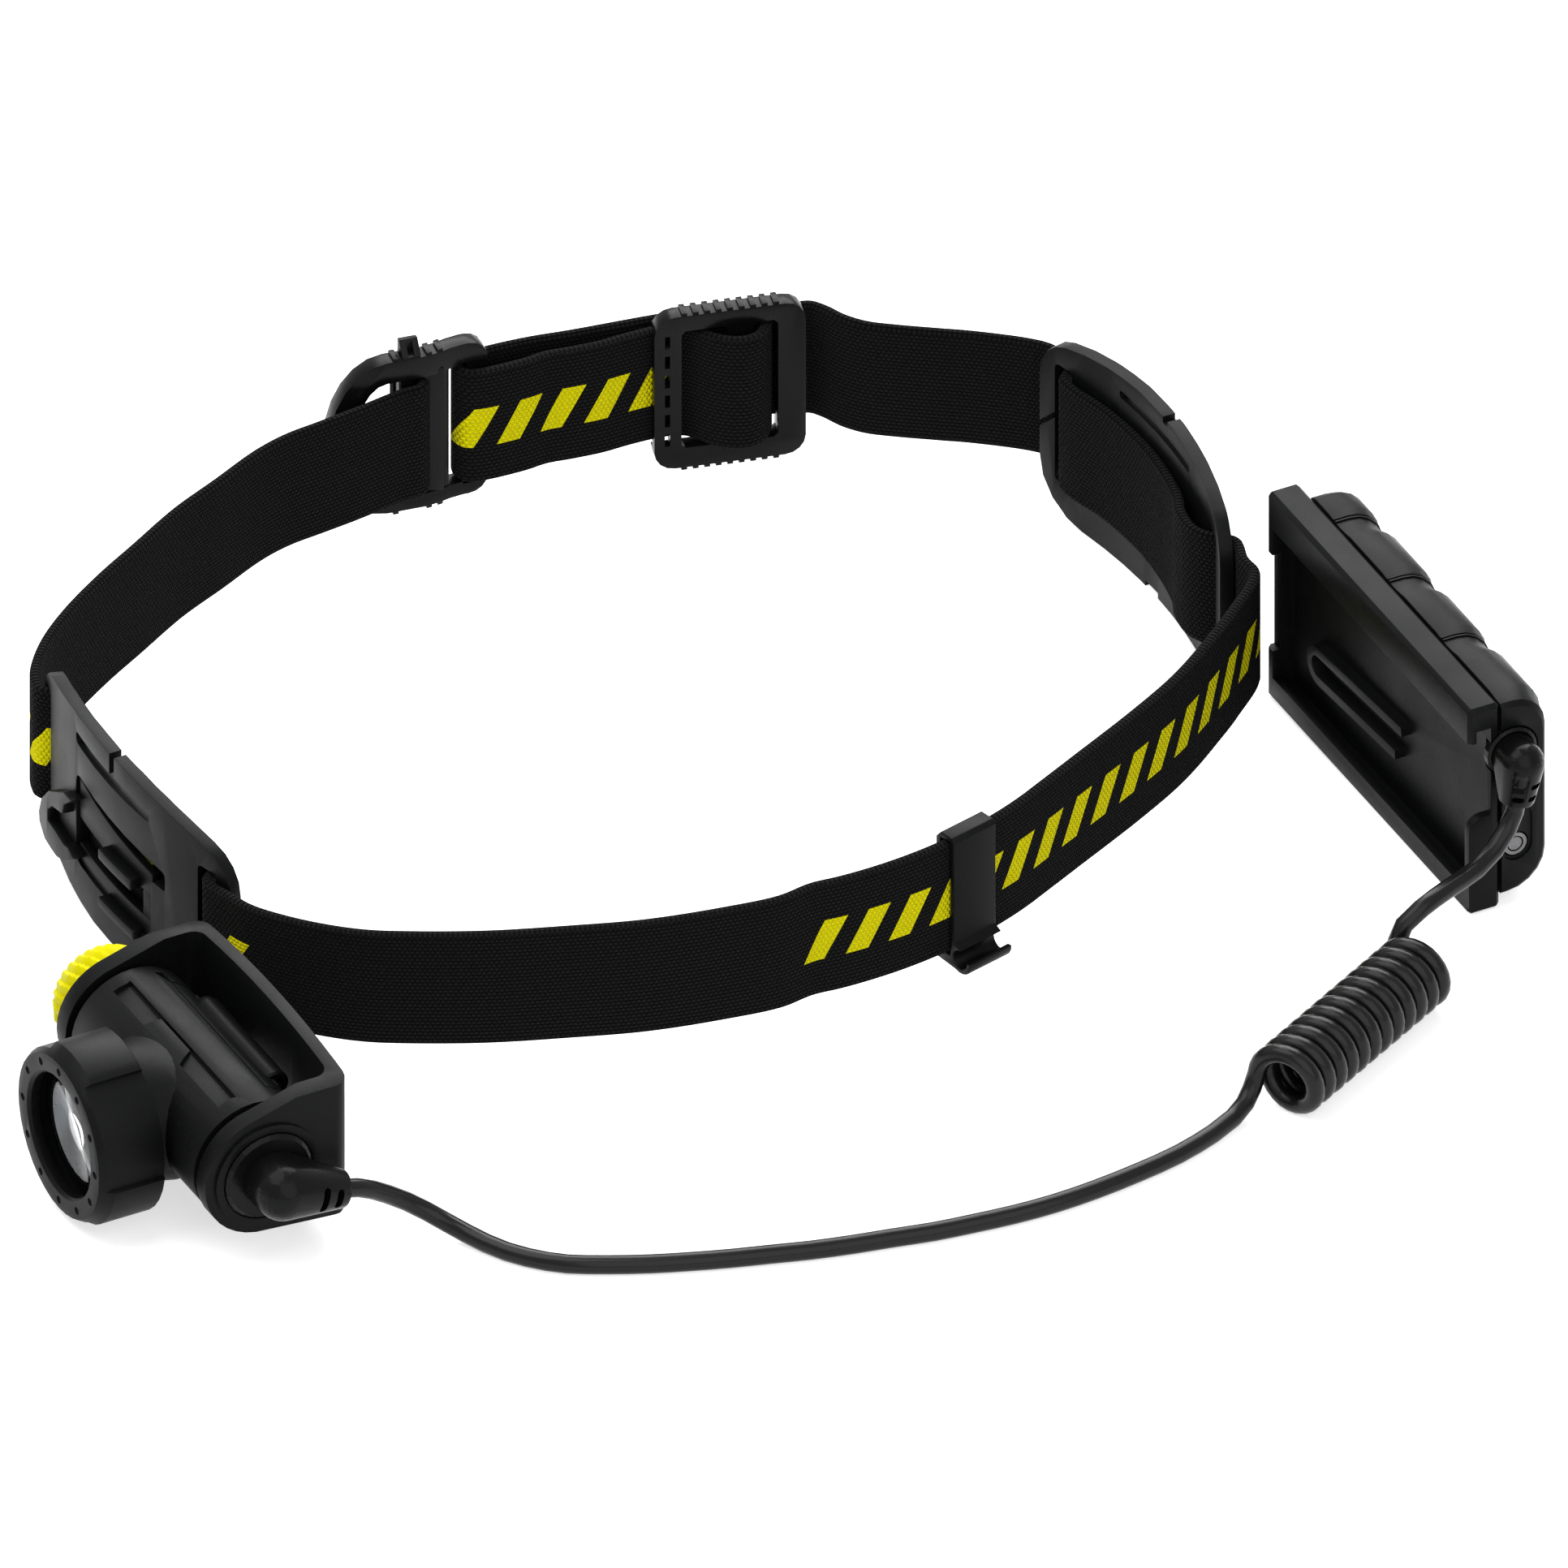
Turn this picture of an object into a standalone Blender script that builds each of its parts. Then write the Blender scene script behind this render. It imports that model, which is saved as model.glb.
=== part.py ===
"""Work headlamp: elastic headband with two mounting plates, tilting lamp, battery pack and coiled lead.

Metres, +Z up. The band stands on its edge, the lamp bracket lies in front of it beside the front plate
with its beam along -Y, and the battery pack stands beside the rear plate at +X. The lamp's pivots lie
along X. Every piece is laid out round the band's middle, and the whole is then moved so that the origin is
the middle of its foot on the surface.
"""
import math

import bmesh
import bpy
import numpy as np
from mathutils import Matrix, Vector
from mathutils.geometry import convex_hull_2d

# ---- shared clearances ------------------------------------------------------------------------------
GAP = 0.0003            # between pieces that touch
RUNNING_GAP = 0.0004    # between a pivot and its bore
ROUND_STEPS = 28        # facets round a large turned piece
SMALL_ROUND_STEPS = 16  # facets round a small turned piece

# ---- strap ------------------------------------------------------------------------------------------
STRAP_WIDTH = 0.025
STRAP_THICKNESS = 0.0022
STRAP_LOW = 0.009       # lower edge above the surface
STRAP_SLACK = 0.0003    # strap to the plastic it runs along
REAR_BULGE = 0.0022     # how far the strap stands off the rear plate beside its +X slot

# ---- mounting plates --------------------------------------------------------------------------------
PLATE_THICKNESS = 0.0026
PLATE_RADIUS = 0.120            # of the face that lies against the strap
PLATE_HEIGHT = 0.043
PLATE_END_DROP = 0.005          # how much lower its arched edges are at the ends
PLATE_CORNER = 0.009
PLATE_SLOT_WIDTH = 0.0048
PLATE_SLOT_MARGIN = 0.0008      # slot taller than the strap, at each end
FRONT_PLATE_REACH = (0.039, 0.0371)     # from its middle to its -X and +X ends
FRONT_SLOTS = (-0.0351, 0.0305)         # middles of its strap slots
FRONT_NARROW_SLOT = 0.0042              # width of the -X one
FRONT_PLATE_X = -0.012
FRONT_PLATE_Y = -0.1328         # its face against the strap, at the middle
REAR_PLATE_REACH = (0.037, 0.037)
REAR_SLOTS = (-0.0305, 0.0305)
REAR_PLATE_FOOT_CORNER = 0.012
REAR_PLATE_X = -0.02175
REAR_PLATE_Y = 0.0898
BEND_STEP = 0.006               # facet length of a curved plate

# ---- slider buckles ---------------------------------------------------------------------------------
BUCKLE_THICKNESS = 0.0034
FRONT_BUCKLE_START = (-0.1077, -0.0413)
FRONT_BUCKLE_TURN = math.radians(9.5)   # of its length from +Y towards +X
FRONT_BUCKLE_LENGTH = 0.0333
FRONT_BUCKLE_HEIGHT = 0.0342
FRONT_BUCKLE_MIDDLE = 0.0224
FRONT_BUCKLE_SHIFT = 0.0016     # how far the end bar stands behind the rest
REAR_BUCKLE_START = (-0.0966, 0.0231)
REAR_BUCKLE_TURN = math.radians(14.8)   # of its length from +Y towards +X
REAR_BUCKLE_LENGTH = 0.029
REAR_BUCKLE_HEIGHT = 0.0344
REAR_BUCKLE_MIDDLE = 0.0210
REAR_BAR_THICKNESS = 0.0020     # its left bar, flush with the wearer's side
BUCKLE_RIB_HEIGHT = 0.0006
BUCKLE_OPENING = 0.0133         # half height of the strap openings
BAIL_LENGTH = 0.013             # of the front buckle's round finger bail
BAIL_WALL = 0.0050
BAIL_SETBACK = 0.0014           # bail's round end from the start of the buckle's length
SEWN_BAR = (0.0155, 0.0184)     # from and to, along the front buckle
SLIT_BAR = (0.0238, 0.0255)
END_BAR_WIDTH = 0.0040
BAR_RELIEF = 0.0005             # bars that carry a fold lie this much under the frame's faces
REAR_BARS = ((0.0, 0.0052), (0.0141, 0.0189), (0.0237, 0.0290))
REAR_BAR_SLOTS = 6
BAND_MIDDLE = STRAP_LOW + STRAP_WIDTH / 2.0

# ---- cable clip -------------------------------------------------------------------------------------
CLIP_ARC_CENTRE = (-0.0178, -0.0217)    # of the strap's round stretch that the clip slides along
CLIP_ARC_RADIUS = 0.0928
CLIP_ARC_FROM = math.radians(-7.0)
CLIP_ARC_TO = math.radians(27.0)
CLIP_ANGLE = math.radians(13.9)
CLIP_WIDTH = 0.0103
CLIP_WALL = 0.0012
CLIP_SLACK = 0.0003             # strap to clip
CLIP_FOOT = 0.0019              # thickness under the strap
CLIP_RING_WALL = 0.0011
CLIP_RING_BORE = 0.00195        # radius of the cable holder's bore
CLIP_RING_HEIGHT = 0.0091       # bore's middle above the surface
CLIP_RING_MOUTH = math.radians(80.0)

# ---- lamp bracket -----------------------------------------------------------------------------------
PIVOT_X = 0.0623                # middle of the lamp
PIVOT_Y = -0.1571
PIVOT_Z = 0.0195
YOKE_WIDTH = 0.0601
ARM_THICKNESS = 0.0036
ARM_RADIUS = 0.0129
YOKE_BACK = 0.0177              # pivot to the bracket's back face
YOKE_BACK_WALL = 0.0026
YOKE_FLOOR_GAP = 0.0053         # bracket's lower edge above the surface
YOKE_CORNER_TOP = 0.0152        # top of the corners above the pivot
YOKE_ARCH_TOP = 0.0176          # top of the back wall's middle above the pivot
YOKE_OUTER_CORNER = 0.0031
YOKE_INNER_CORNER = 0.0026
TRUNNION_RADIUS = 0.0050
COLLAR_RADIUS = 0.0110          # raised ring on the cable side
COLLAR_WIDTH = 0.0016
COLLAR_HEIGHT = 0.0008
WASHER_THICKNESS = 0.0012
GLAND_RADIUS = 0.0084
GLAND_HEIGHT = 0.0013

# ---- lamp head --------------------------------------------------------------------------------------
BARREL_RADIUS = 0.0126
BARREL_WALL = 0.0020
BEAM_DROP = 0.0011              # beam axis below the pivot
BEZEL_FRONT = 0.0281            # pivot to the bezel's front
BEZEL_LENGTH = 0.0137
BEZEL_RADIUS = 0.0180
BEZEL_FRONT_RADIUS = 0.0163
BEZEL_APERTURE = 0.0123
BEZEL_LIP = 0.0023
BEZEL_PADS = 3
BEZEL_FIELD = math.radians(73.0)     # width of a field between two pads
BEZEL_FIELD_PLACE = math.radians(26.5)
BEZEL_RECESS = 0.0009           # how far the fields between the pads lie below them
NECK_RADIUS = 0.0130            # inside the bezel
NECK_WALL = 0.0015
NECK_INSERT = 0.0078            # how far the neck reaches into the bezel
SKIRT_FRONT_RADIUS = 0.0134
SKIRT_WIDTH = 0.0170            # half width where it meets the barrel
SKIRT_HEIGHT = 0.0122           # half height there
COVER_ANGLE = math.radians(33.0)        # the cover's middle above the barrel's back
COVER_HALF_ANGLE = math.radians(30.0)
BOSS_ENDS = (-0.0160, 0.0140)           # end centres of the cover's oblong boss
BOSS_RADIUS = 0.0020
BOSS_REACH = 0.0151                     # pivot to the boss's top
COVER_LENGTH = 0.038
COVER_THICKNESS = 0.0018
WHEEL_RADIUS = 0.0112
WHEEL_RIM = 0.0040              # width of the toothed rim
WHEEL_FACE_RADIUS = 0.0092
WHEEL_THICKNESS = 0.0082
WHEEL_TEETH = 28
SHAFT_RADIUS = 0.0018
LENS_RADIUS = 0.0104
CARRIER_WALL = 0.0008
LENS_THICKNESS = 0.0042
LENS_RECESS = 0.0036            # bezel's front to the lens
FOCUS_TRAVEL = 0.0035

# ---- lead -------------------------------------------------------------------------------------------
CORD_DIAMETER = 0.0037
COIL_RADIUS = 0.0078
COIL_PITCH = 0.00381
COIL_TURNS = 12
COIL_START = (0.1393, 0.0325)
COIL_HEADING = math.radians(118.4)
LAMP_ELBOW_REACH = 0.0064       # arm's outer face to the elbow's axis
LAMP_ELBOW_RADIUS = 0.0058
LAMP_TAIL = (0.0, 0.0125, -0.0035)
LAMP_TAIL_RADII = (0.0044, 0.00305)
BATTERY_ELBOW_REACH = 0.0043
BATTERY_ELBOW_RADIUS = 0.0043
BATTERY_TAIL = (0.0, -0.0013, -0.0078)
BATTERY_TAIL_RADII = (0.0038, 0.0031)

# ---- battery pack -----------------------------------------------------------------------------------
PACK_LEFT = 0.0157
PACK_LENGTH = 0.0818
PACK_HEIGHT = 0.0465
PACK_FRONT = 0.0934             # its face towards the head
PACK_DEPTH = 0.0175
TRAY_DEPTH = 0.0066
RAIL_LIPS = (0.0052, 0.0076)    # height of the lower and the upper hook lip
RAIL_LIP_THICKNESS = 0.0016
RAIL_UNDERCUT = 0.0026          # how far a lip overhangs the channel
CHANNEL_DEPTH = 0.0046
FLAP_TOP = 0.0218               # top of the thumb flap beside the open end
END_OPENING = (0.0112, 0.0330)  # open stretch of the left end
SHELL_WALL = 0.0018
SHELL_INSETS = (0.0022, 0.0003) # shell's foot above the tray's, and its top below the tray's
SHELL_CORNERS = (0.0080, 0.0070)        # of its foot and its top
WAVE_DEPTH = 0.0011
CELL_MARGINS = (0.0050, 0.0045)         # cell and board from the inside's foot and top
WAVE_SIDE = 0.4                 # how much of a wave's depth shows at the shell's top and foot
WAVE_PERIOD = 0.0216
WAVE_START = 0.0276
SOCKET_PLACE = (0.1024, 0.0349)     # its Y and Z on the pack's end
SOCKET_RADIUS = 0.0052
SOCKET_DEPTH = 0.0014
CONTACT_PLACE = (0.1035, 0.0130)
CONTACT_RADIUS = 0.0021

# ---- finishes: colour, roughness, metallic ----------------------------------------------------------
FINISHES = {
    "black_plastic": ((0.035, 0.036, 0.038), 0.55, 0.0),
    "black_rubber": ((0.015, 0.015, 0.016), 0.70, 0.0),
    "cord_jacket": ((0.014, 0.014, 0.015), 0.35, 0.0),
    "elastic_web": ((0.012, 0.012, 0.013), 0.90, 0.0),
    "yellow_plastic": ((0.95, 0.85, 0.0), 0.45, 0.0),
    "clear_lens": ((0.85, 0.88, 0.90), 0.08, 0.0),
    "aluminium": ((0.75, 0.76, 0.77), 0.35, 1.0),
    "spring_steel": ((0.55, 0.55, 0.56), 0.30, 1.0),
    "circuit_board": ((0.02, 0.14, 0.06), 0.50, 0.0),
    "emitter_phosphor": ((0.95, 0.80, 0.25), 0.40, 0.0),
    "cell_foil": ((0.60, 0.61, 0.62), 0.35, 0.6),
}

PARTS = []


# ---- building helpers -------------------------------------------------------------------------------
def clear_scene():
    """Removes whatever the file holds."""
    for thing in list(bpy.data.objects):
        bpy.data.objects.remove(thing, do_unlink=True)


def finish(name):
    """The named material, made once."""
    if name in bpy.data.materials:
        return bpy.data.materials[name]
    colour, roughness, metallic = FINISHES[name]
    made = bpy.data.materials.new(name)
    made.use_nodes = True
    shader = made.node_tree.nodes["Principled BSDF"]
    shader.inputs["Base Color"].default_value = (*colour, 1.0)
    shader.inputs["Roughness"].default_value = roughness
    shader.inputs["Metallic"].default_value = metallic
    return made


def to_object(name, bm):
    """An object of the bmesh's shape."""
    mesh = bpy.data.meshes.new(name)
    bm.to_mesh(mesh)
    bm.free()
    made = bpy.data.objects.new(name, mesh)
    bpy.context.collection.objects.link(made)
    return made


def part(name, bm, look, parent, smooth=True):
    """A finished piece under its parent empty, which stands on the piece's joint axis."""
    made = to_object(name, bm)
    made.data.materials.append(finish(look))
    made.parent = parent
    if smooth:
        made.data.shade_smooth()
        made.data.set_sharp_from_angle(angle=math.radians(32.0))
    PARTS.append(made)
    return made


def combine(target, tool_mesh, operation):
    """Cuts, joins or trims a piece with a hidden tool shape under the same parent."""
    tool = to_object(target.name + "_tool", tool_mesh)
    tool.parent = target
    tool.hide_render = True
    tool.display_type = "WIRE"
    step = target.modifiers.new(operation.lower(), "BOOLEAN")
    step.operation = operation
    step.solver = "EXACT"
    step.object = tool


def cut(target, tool_mesh):
    """Takes the tool's shape out of the piece."""
    combine(target, tool_mesh, "DIFFERENCE")


def add(target, tool_mesh):
    """Joins the tool's shape to the piece."""
    combine(target, tool_mesh, "UNION")


def absorb(bm, other):
    """Puts another shape into the first one, as a separate body."""
    mesh = bpy.data.meshes.new("joined")
    other.to_mesh(mesh)
    other.free()
    bm.from_mesh(mesh)
    bpy.data.meshes.remove(mesh)


def keep(target, tool_mesh):
    """Keeps only what lies inside the tool's shape."""
    combine(target, tool_mesh, "INTERSECT")


def empty(name, place, parent):
    """A pivot or group marker."""
    made = bpy.data.objects.new(name, None)
    bpy.context.collection.objects.link(made)
    made.location = place
    made.parent = parent
    return made


AXES = {
    "X": Matrix(((0, 0, 1, 0), (1, 0, 0, 0), (0, 1, 0, 0), (0, 0, 0, 1))),
    "Y": Matrix(((1, 0, 0, 0), (0, 0, 1, 0), (0, 1, 0, 0), (0, 0, 0, 1))),
    "Z": Matrix.Identity(4),
}


def prism(outline, low, high, axis, holes=()):
    """A flat outline, with holes, pushed from low to high along an axis.

    The outline lies in YZ for an X prism, in XZ for a Y prism and in XY for a Z prism.
    """
    bm = bmesh.new()
    edges = []
    for ring in (outline, *holes):
        corners = [bm.verts.new((a, b, low)) for a, b in ring]
        edges += [bm.edges.new(pair) for pair in zip(corners, corners[1:] + corners[:1])]
    if holes:
        bmesh.ops.triangle_fill(bm, edges=edges, use_beauty=True)
    else:
        bm.faces.new(bm.verts[:])
    raised = bmesh.ops.extrude_face_region(bm, geom=bm.faces[:])
    moved = [item for item in raised["geom"] if isinstance(item, bmesh.types.BMVert)]
    bmesh.ops.translate(bm, verts=moved, vec=(0.0, 0.0, high - low))
    bmesh.ops.transform(bm, matrix=AXES[axis], verts=bm.verts)
    bmesh.ops.recalc_face_normals(bm, faces=bm.faces)
    return bm


def block(low, high, bevel=0.0):
    """A box between two corners, its edges rounded off by bevel."""
    bm = bmesh.new()
    bmesh.ops.create_cube(bm, size=1.0)
    size = [b - a for a, b in zip(low, high)]
    middle = [(a + b) / 2.0 for a, b in zip(low, high)]
    bmesh.ops.scale(bm, vec=size, verts=bm.verts)
    bmesh.ops.translate(bm, vec=middle, verts=bm.verts)
    if bevel:
        bmesh.ops.bevel(bm, geom=bm.edges[:], offset=bevel, segments=1, profile=0.5,
                        affect="EDGES", material=-1)
    return bm


def turned(profile, towards, centre=(0.0, 0.0, 0.0), steps=ROUND_STEPS, ring=False):
    """A profile of (radius, height) points turned about an axis through centre, heights along towards.

    A ring's profile closes on itself; any other starts and ends on the axis.
    """
    bm = bmesh.new()
    points = [bm.verts.new((radius, 0.0, height)) for radius, height in profile]
    lines = [bm.edges.new(pair) for pair in zip(points, points[1:])]
    if ring:
        lines.append(bm.edges.new((points[-1], points[0])))
    bmesh.ops.spin(bm, geom=points + lines, cent=(0.0, 0.0, 0.0), axis=(0.0, 0.0, 1.0),
                   angle=2.0 * math.pi, steps=steps, use_merge=True)
    bmesh.ops.remove_doubles(bm, verts=bm.verts, dist=1e-7)
    bm.normal_update()
    flat_tips = [corner for corner in bm.verts if corner.co.xy.length < 1e-7
                 and all(abs(face.normal.z) > 0.9999 for face in corner.link_faces)]
    bmesh.ops.dissolve_verts(bm, verts=flat_tips)
    turn = Vector((0.0, 0.0, 1.0)).rotation_difference(Vector(towards)).to_matrix().to_4x4()
    bmesh.ops.transform(bm, matrix=Matrix.Translation(centre) @ turn, verts=bm.verts)
    bmesh.ops.recalc_face_normals(bm, faces=bm.faces)
    return bm


def rod(radius, low, high, towards, centre=(0.0, 0.0, 0.0), steps=ROUND_STEPS, far_radius=None):
    """A cylinder, or a cone when far_radius differs, from low to high along an axis."""
    far = radius if far_radius is None else far_radius
    return turned([(0.0, low), (radius, low), (far, high), (0.0, high)], towards, centre, steps)


def tube_ring(inner, outer, low, high, towards, centre=(0.0, 0.0, 0.0), steps=ROUND_STEPS):
    """A plain ring between two radii and two heights."""
    return turned([(inner, low), (outer, low), (outer, high), (inner, high)], towards, centre, steps,
                  ring=True)


def fillet(corners, steps=4):
    """A closed outline of (a, b, radius) corners with each corner rounded."""
    outline = []
    count = len(corners)
    for index, (a, b, radius) in enumerate(corners):
        here = Vector((a, b))
        before = Vector(corners[index - 1][:2]) - here
        after = Vector(corners[(index + 1) % count][:2]) - here
        if radius <= 0.0:
            outline.append((a, b))
            continue
        half = before.angle(after) / 2.0
        reach = radius / math.tan(half)
        middle = here + (before.normalized() + after.normalized()).normalized() * (radius / math.sin(half))
        start = here + before.normalized() * reach - middle
        stop = here + after.normalized() * reach - middle
        turn = math.pi - 2.0 * half
        if start.x * stop.y - start.y * stop.x < 0.0:
            turn = -turn
        for step in range(steps + 1):
            angle = turn * step / steps
            outline.append((middle.x + start.x * math.cos(angle) - start.y * math.sin(angle),
                            middle.y + start.x * math.sin(angle) + start.y * math.cos(angle)))
    return outline


def rectangle(a_low, b_low, a_high, b_high, radius=0.0, steps=3):
    """A rectangle's outline with rounded corners."""
    return fillet([(a_low, b_low, radius), (a_high, b_low, radius),
                   (a_high, b_high, radius), (a_low, b_high, radius)], steps)


def hull(points):
    """The outline round a set of points."""
    return [points[index] for index in convex_hull_2d(points)]


def circle(a, b, radius, steps):
    """Points round a circle."""
    return [(a + radius * math.cos(2.0 * math.pi * k / steps),
             b + radius * math.sin(2.0 * math.pi * k / steps)) for k in range(steps)]


def loft(rings):
    """A closed skin over a row of rings with the same number of points."""
    bm = bmesh.new()
    rows = [[bm.verts.new(point) for point in ring] for ring in rings]
    for first, second in zip(rows, rows[1:]):
        for k in range(len(first)):
            bm.faces.new((first[k - 1], first[k], second[k], second[k - 1]))
    bm.faces.new(rows[0])
    bm.faces.new(rows[-1])
    bmesh.ops.recalc_face_normals(bm, faces=bm.faces)
    return bm


def baked(thing):
    """The piece's shape after its modifiers, as a bmesh; the piece and its tools are removed."""
    tools = [step.object for step in thing.modifiers]
    graph = bpy.context.evaluated_depsgraph_get()
    bm = bmesh.new()
    bm.from_object(thing, graph)
    for done in [thing, *tools]:
        bpy.data.objects.remove(done, do_unlink=True)
    return bm


def bend(bm, stations, place):
    """Folds a flat shape, laid along X, over a row of stations; place(x, y) gives the bent X and Y."""
    for x in stations[1:-1]:
        bmesh.ops.bisect_plane(bm, geom=bm.verts[:] + bm.edges[:] + bm.faces[:], dist=1e-7,
                               plane_co=(x, 0.0, 0.0), plane_no=(1.0, 0.0, 0.0))
    for corner in bm.verts:
        x = corner.co.x
        index = min(max(int(np.searchsorted(stations, x + 1e-7)) - 1, 0), len(stations) - 2)
        start, end = stations[index], stations[index + 1]
        share = (x - start) / (end - start)
        low = Vector(place(start, corner.co.y))
        high = Vector(place(end, corner.co.y))
        corner.co.x, corner.co.y = low.lerp(high, share)
    bmesh.ops.recalc_face_normals(bm, faces=bm.faces)
    return bm


def spline(points, spacing):
    """A smooth curve through points, as closely spaced points along it."""
    knots = [Vector(point) for point in points]
    row = [2.0 * knots[0] - knots[1], *knots, 2.0 * knots[-1] - knots[-2]]
    curve = []
    for before, start, end, after in zip(row, row[1:], row[2:], row[3:]):
        spans = [max((b - a).length, 1e-9) ** 0.5 for a, b in ((before, start), (start, end), (end, after))]
        leave = ((start - before) / spans[0] - (end - before) / (spans[0] + spans[1])
                 + (end - start) / spans[1]) * spans[1]
        arrive = ((end - start) / spans[1] - (after - start) / (spans[1] + spans[2])
                  + (after - end) / spans[2]) * spans[1]
        count = max(1, round((end - start).length / spacing))
        for k in range(count):
            t = k / count
            curve.append((2 * t ** 3 - 3 * t ** 2 + 1) * start + (t ** 3 - 2 * t ** 2 + t) * leave
                         + (3 * t ** 2 - 2 * t ** 3) * end + (t ** 3 - t ** 2) * arrive)
    curve.append(knots[-1])
    return curve


# ---- strap ------------------------------------------------------------------------------------------
def plate_point(centre_x, face_y, facing, along, radius):
    """A point at a radius of a curved plate's own arc, along its face from the middle."""
    angle = along / PLATE_RADIUS
    return (centre_x + radius * math.sin(angle),
            face_y + facing * (radius * math.cos(angle) - PLATE_RADIUS))


def strap_past_plate(centre_x, face_y, facing, slots, ends_free, bulge=0.0):
    """The strap's way through one plate, from its -X end to its +X end.

    It comes over the outside of one end bar, in through the slot, along the inner side and out again.
    ends_free gives how far past the slot the strap still follows the bars, on each side, and bulge how
    far it stands off the inner side before the +X slot.
    """
    half = STRAP_THICKNESS / 2.0 + STRAP_SLACK
    inside = PLATE_RADIUS - half
    outside = PLATE_RADIUS + PLATE_THICKNESS + half
    middle = PLATE_RADIUS + PLATE_THICKNESS / 2.0
    low, high = slots
    stops = [(low - ends_free[0], outside + 0.0002), (low - 0.0016, outside - 0.0002), (low, middle),
             (low + 0.0016, inside + 0.0002), (low + 0.0045, inside - 0.0006), (low / 2.0, inside),
             (0.0, inside), (high / 2.0, inside - bulge / 2.0), (high * 0.66, inside - bulge),
             (high - 0.0045, inside - 0.0006 - bulge / 2.0), (high - 0.0016, inside + 0.0002),
             (high, middle), (high + 0.0016, outside - 0.0002), (high + ends_free[1], outside + 0.0002)]
    return [plate_point(centre_x, face_y, facing, along, radius) for along, radius in stops]


def arc_point(angle, radius):
    """A point round the middle of the strap's round stretch."""
    return (CLIP_ARC_CENTRE[0] + radius * math.cos(angle), CLIP_ARC_CENTRE[1] + radius * math.sin(angle))


def strap_route():
    """The middle of the strap's thickness, from the end in the front buckle to the end in the rear one."""
    front_loop = [buckle_point(FRONT_BUCKLE_START, FRONT_BUCKLE_TURN, *spot) for spot in
                  ((0.0153, 0.0046), (0.0176, 0.0045), (0.0196, 0.0036), (0.0206, 0.0015), (0.0192, -0.0010),
                   (0.0156, -0.0016))]
    left_run = [(-0.1031, -0.0300), (-0.1021, -0.0370), (-0.1013, -0.0450), (-0.1006, -0.0520),
                (-0.0987, -0.0590), (-0.0937, -0.0703), (-0.0890, -0.0811), (-0.0822, -0.0933),
                (-0.0762, -0.1040), (-0.0690, -0.1150), (-0.0624, -0.1229), (-0.0560, -0.1283)]
    front_plate = strap_past_plate(FRONT_PLATE_X, FRONT_PLATE_Y, -1.0, FRONT_SLOTS, (0.0040, 0.0075))
    right_run = [(0.0318, -0.1293), (0.0379, -0.1253), (0.0443, -0.1196), (0.0493, -0.1138),
                 (0.0532, -0.1074), (0.0600, -0.0940), (0.0656, -0.0798), (0.0706, -0.0655),
                 (0.0739, -0.0502), (0.0752, -0.0400)]
    span = CLIP_ARC_TO - CLIP_ARC_FROM
    clip_arc = [arc_point(CLIP_ARC_FROM + span * k / 10.0, CLIP_ARC_RADIUS) for k in range(11)]
    rear_run = [(0.0599, 0.0308), (0.0527, 0.0457), (0.0465, 0.0573), (0.0422, 0.0639), (0.0368, 0.0711),
                (0.0309, 0.0785), (0.0220, 0.0876)]
    rear_plate = strap_past_plate(REAR_PLATE_X, REAR_PLATE_Y, 1.0, REAR_SLOTS, (0.0075, 0.0075), REAR_BULGE)
    back_run = [(-0.0638, 0.0853), (-0.0711, 0.0768), (-0.0746, 0.0719), (-0.0795, 0.0651),
                (-0.0832, 0.0606), (-0.0872, 0.0578), (-0.0912, 0.0562), (-0.0938, 0.0545),
                (-0.0950, 0.0515)]
    back_layer = [(-0.0990, 0.0437), (-0.1004, 0.0385), (-0.1019, 0.0330), (-0.1034, 0.0259),
                  (-0.1061, 0.0104), (-0.1077, 0.0027), (-0.1086, -0.0045)]
    end_fold = [buckle_point(FRONT_BUCKLE_START, FRONT_BUCKLE_TURN, *spot) for spot in
                ((0.0313, 0.0064), (0.0288, 0.0057), (0.0278, 0.0033), (0.0288, 0.0009), (0.0313, 0.0002))]
    inner_layer = [(-0.1019, -0.0014), (-0.1021, 0.0029), (-0.1012, 0.0080), (-0.1004, 0.0139),
                   (-0.1003, 0.0195)]
    rear_loop = [buckle_point(REAR_BUCKLE_START, REAR_BUCKLE_TURN, *spot) for spot in
                 ((0.0015, 0.0037), (0.0055, 0.0037), (0.0080, 0.0024), (0.0110, -0.0008), (0.0140, -0.0026),
                  (0.0168, -0.0031), (0.0194, -0.0022), (0.0213, 0.0004), (0.0218, 0.0030),
                  (0.0202, 0.0047), (0.0178, 0.0049), (0.0150, 0.0049))]
    return (front_loop + left_run + front_plate + right_run + clip_arc + rear_run + rear_plate[::-1]
            + back_run + back_layer + end_fold + inner_layer + rear_loop)


def ribbon_stations(curve, longest, sharpest):
    """Thins a curve to as few points as keep each facet shorter and flatter than the given limits."""
    kept = [0]
    turned_by = 0.0
    for index in range(1, len(curve) - 1):
        into = curve[index] - curve[index - 1]
        out = curve[index + 1] - curve[index]
        turned_by += abs(into.angle_signed(out, 0.0))
        far = (curve[index + 1] - curve[kept[-1]]).length > longest
        if far or turned_by > sharpest:
            kept.append(index)
            turned_by = 0.0
    kept.append(len(curve) - 1)
    return kept


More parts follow.
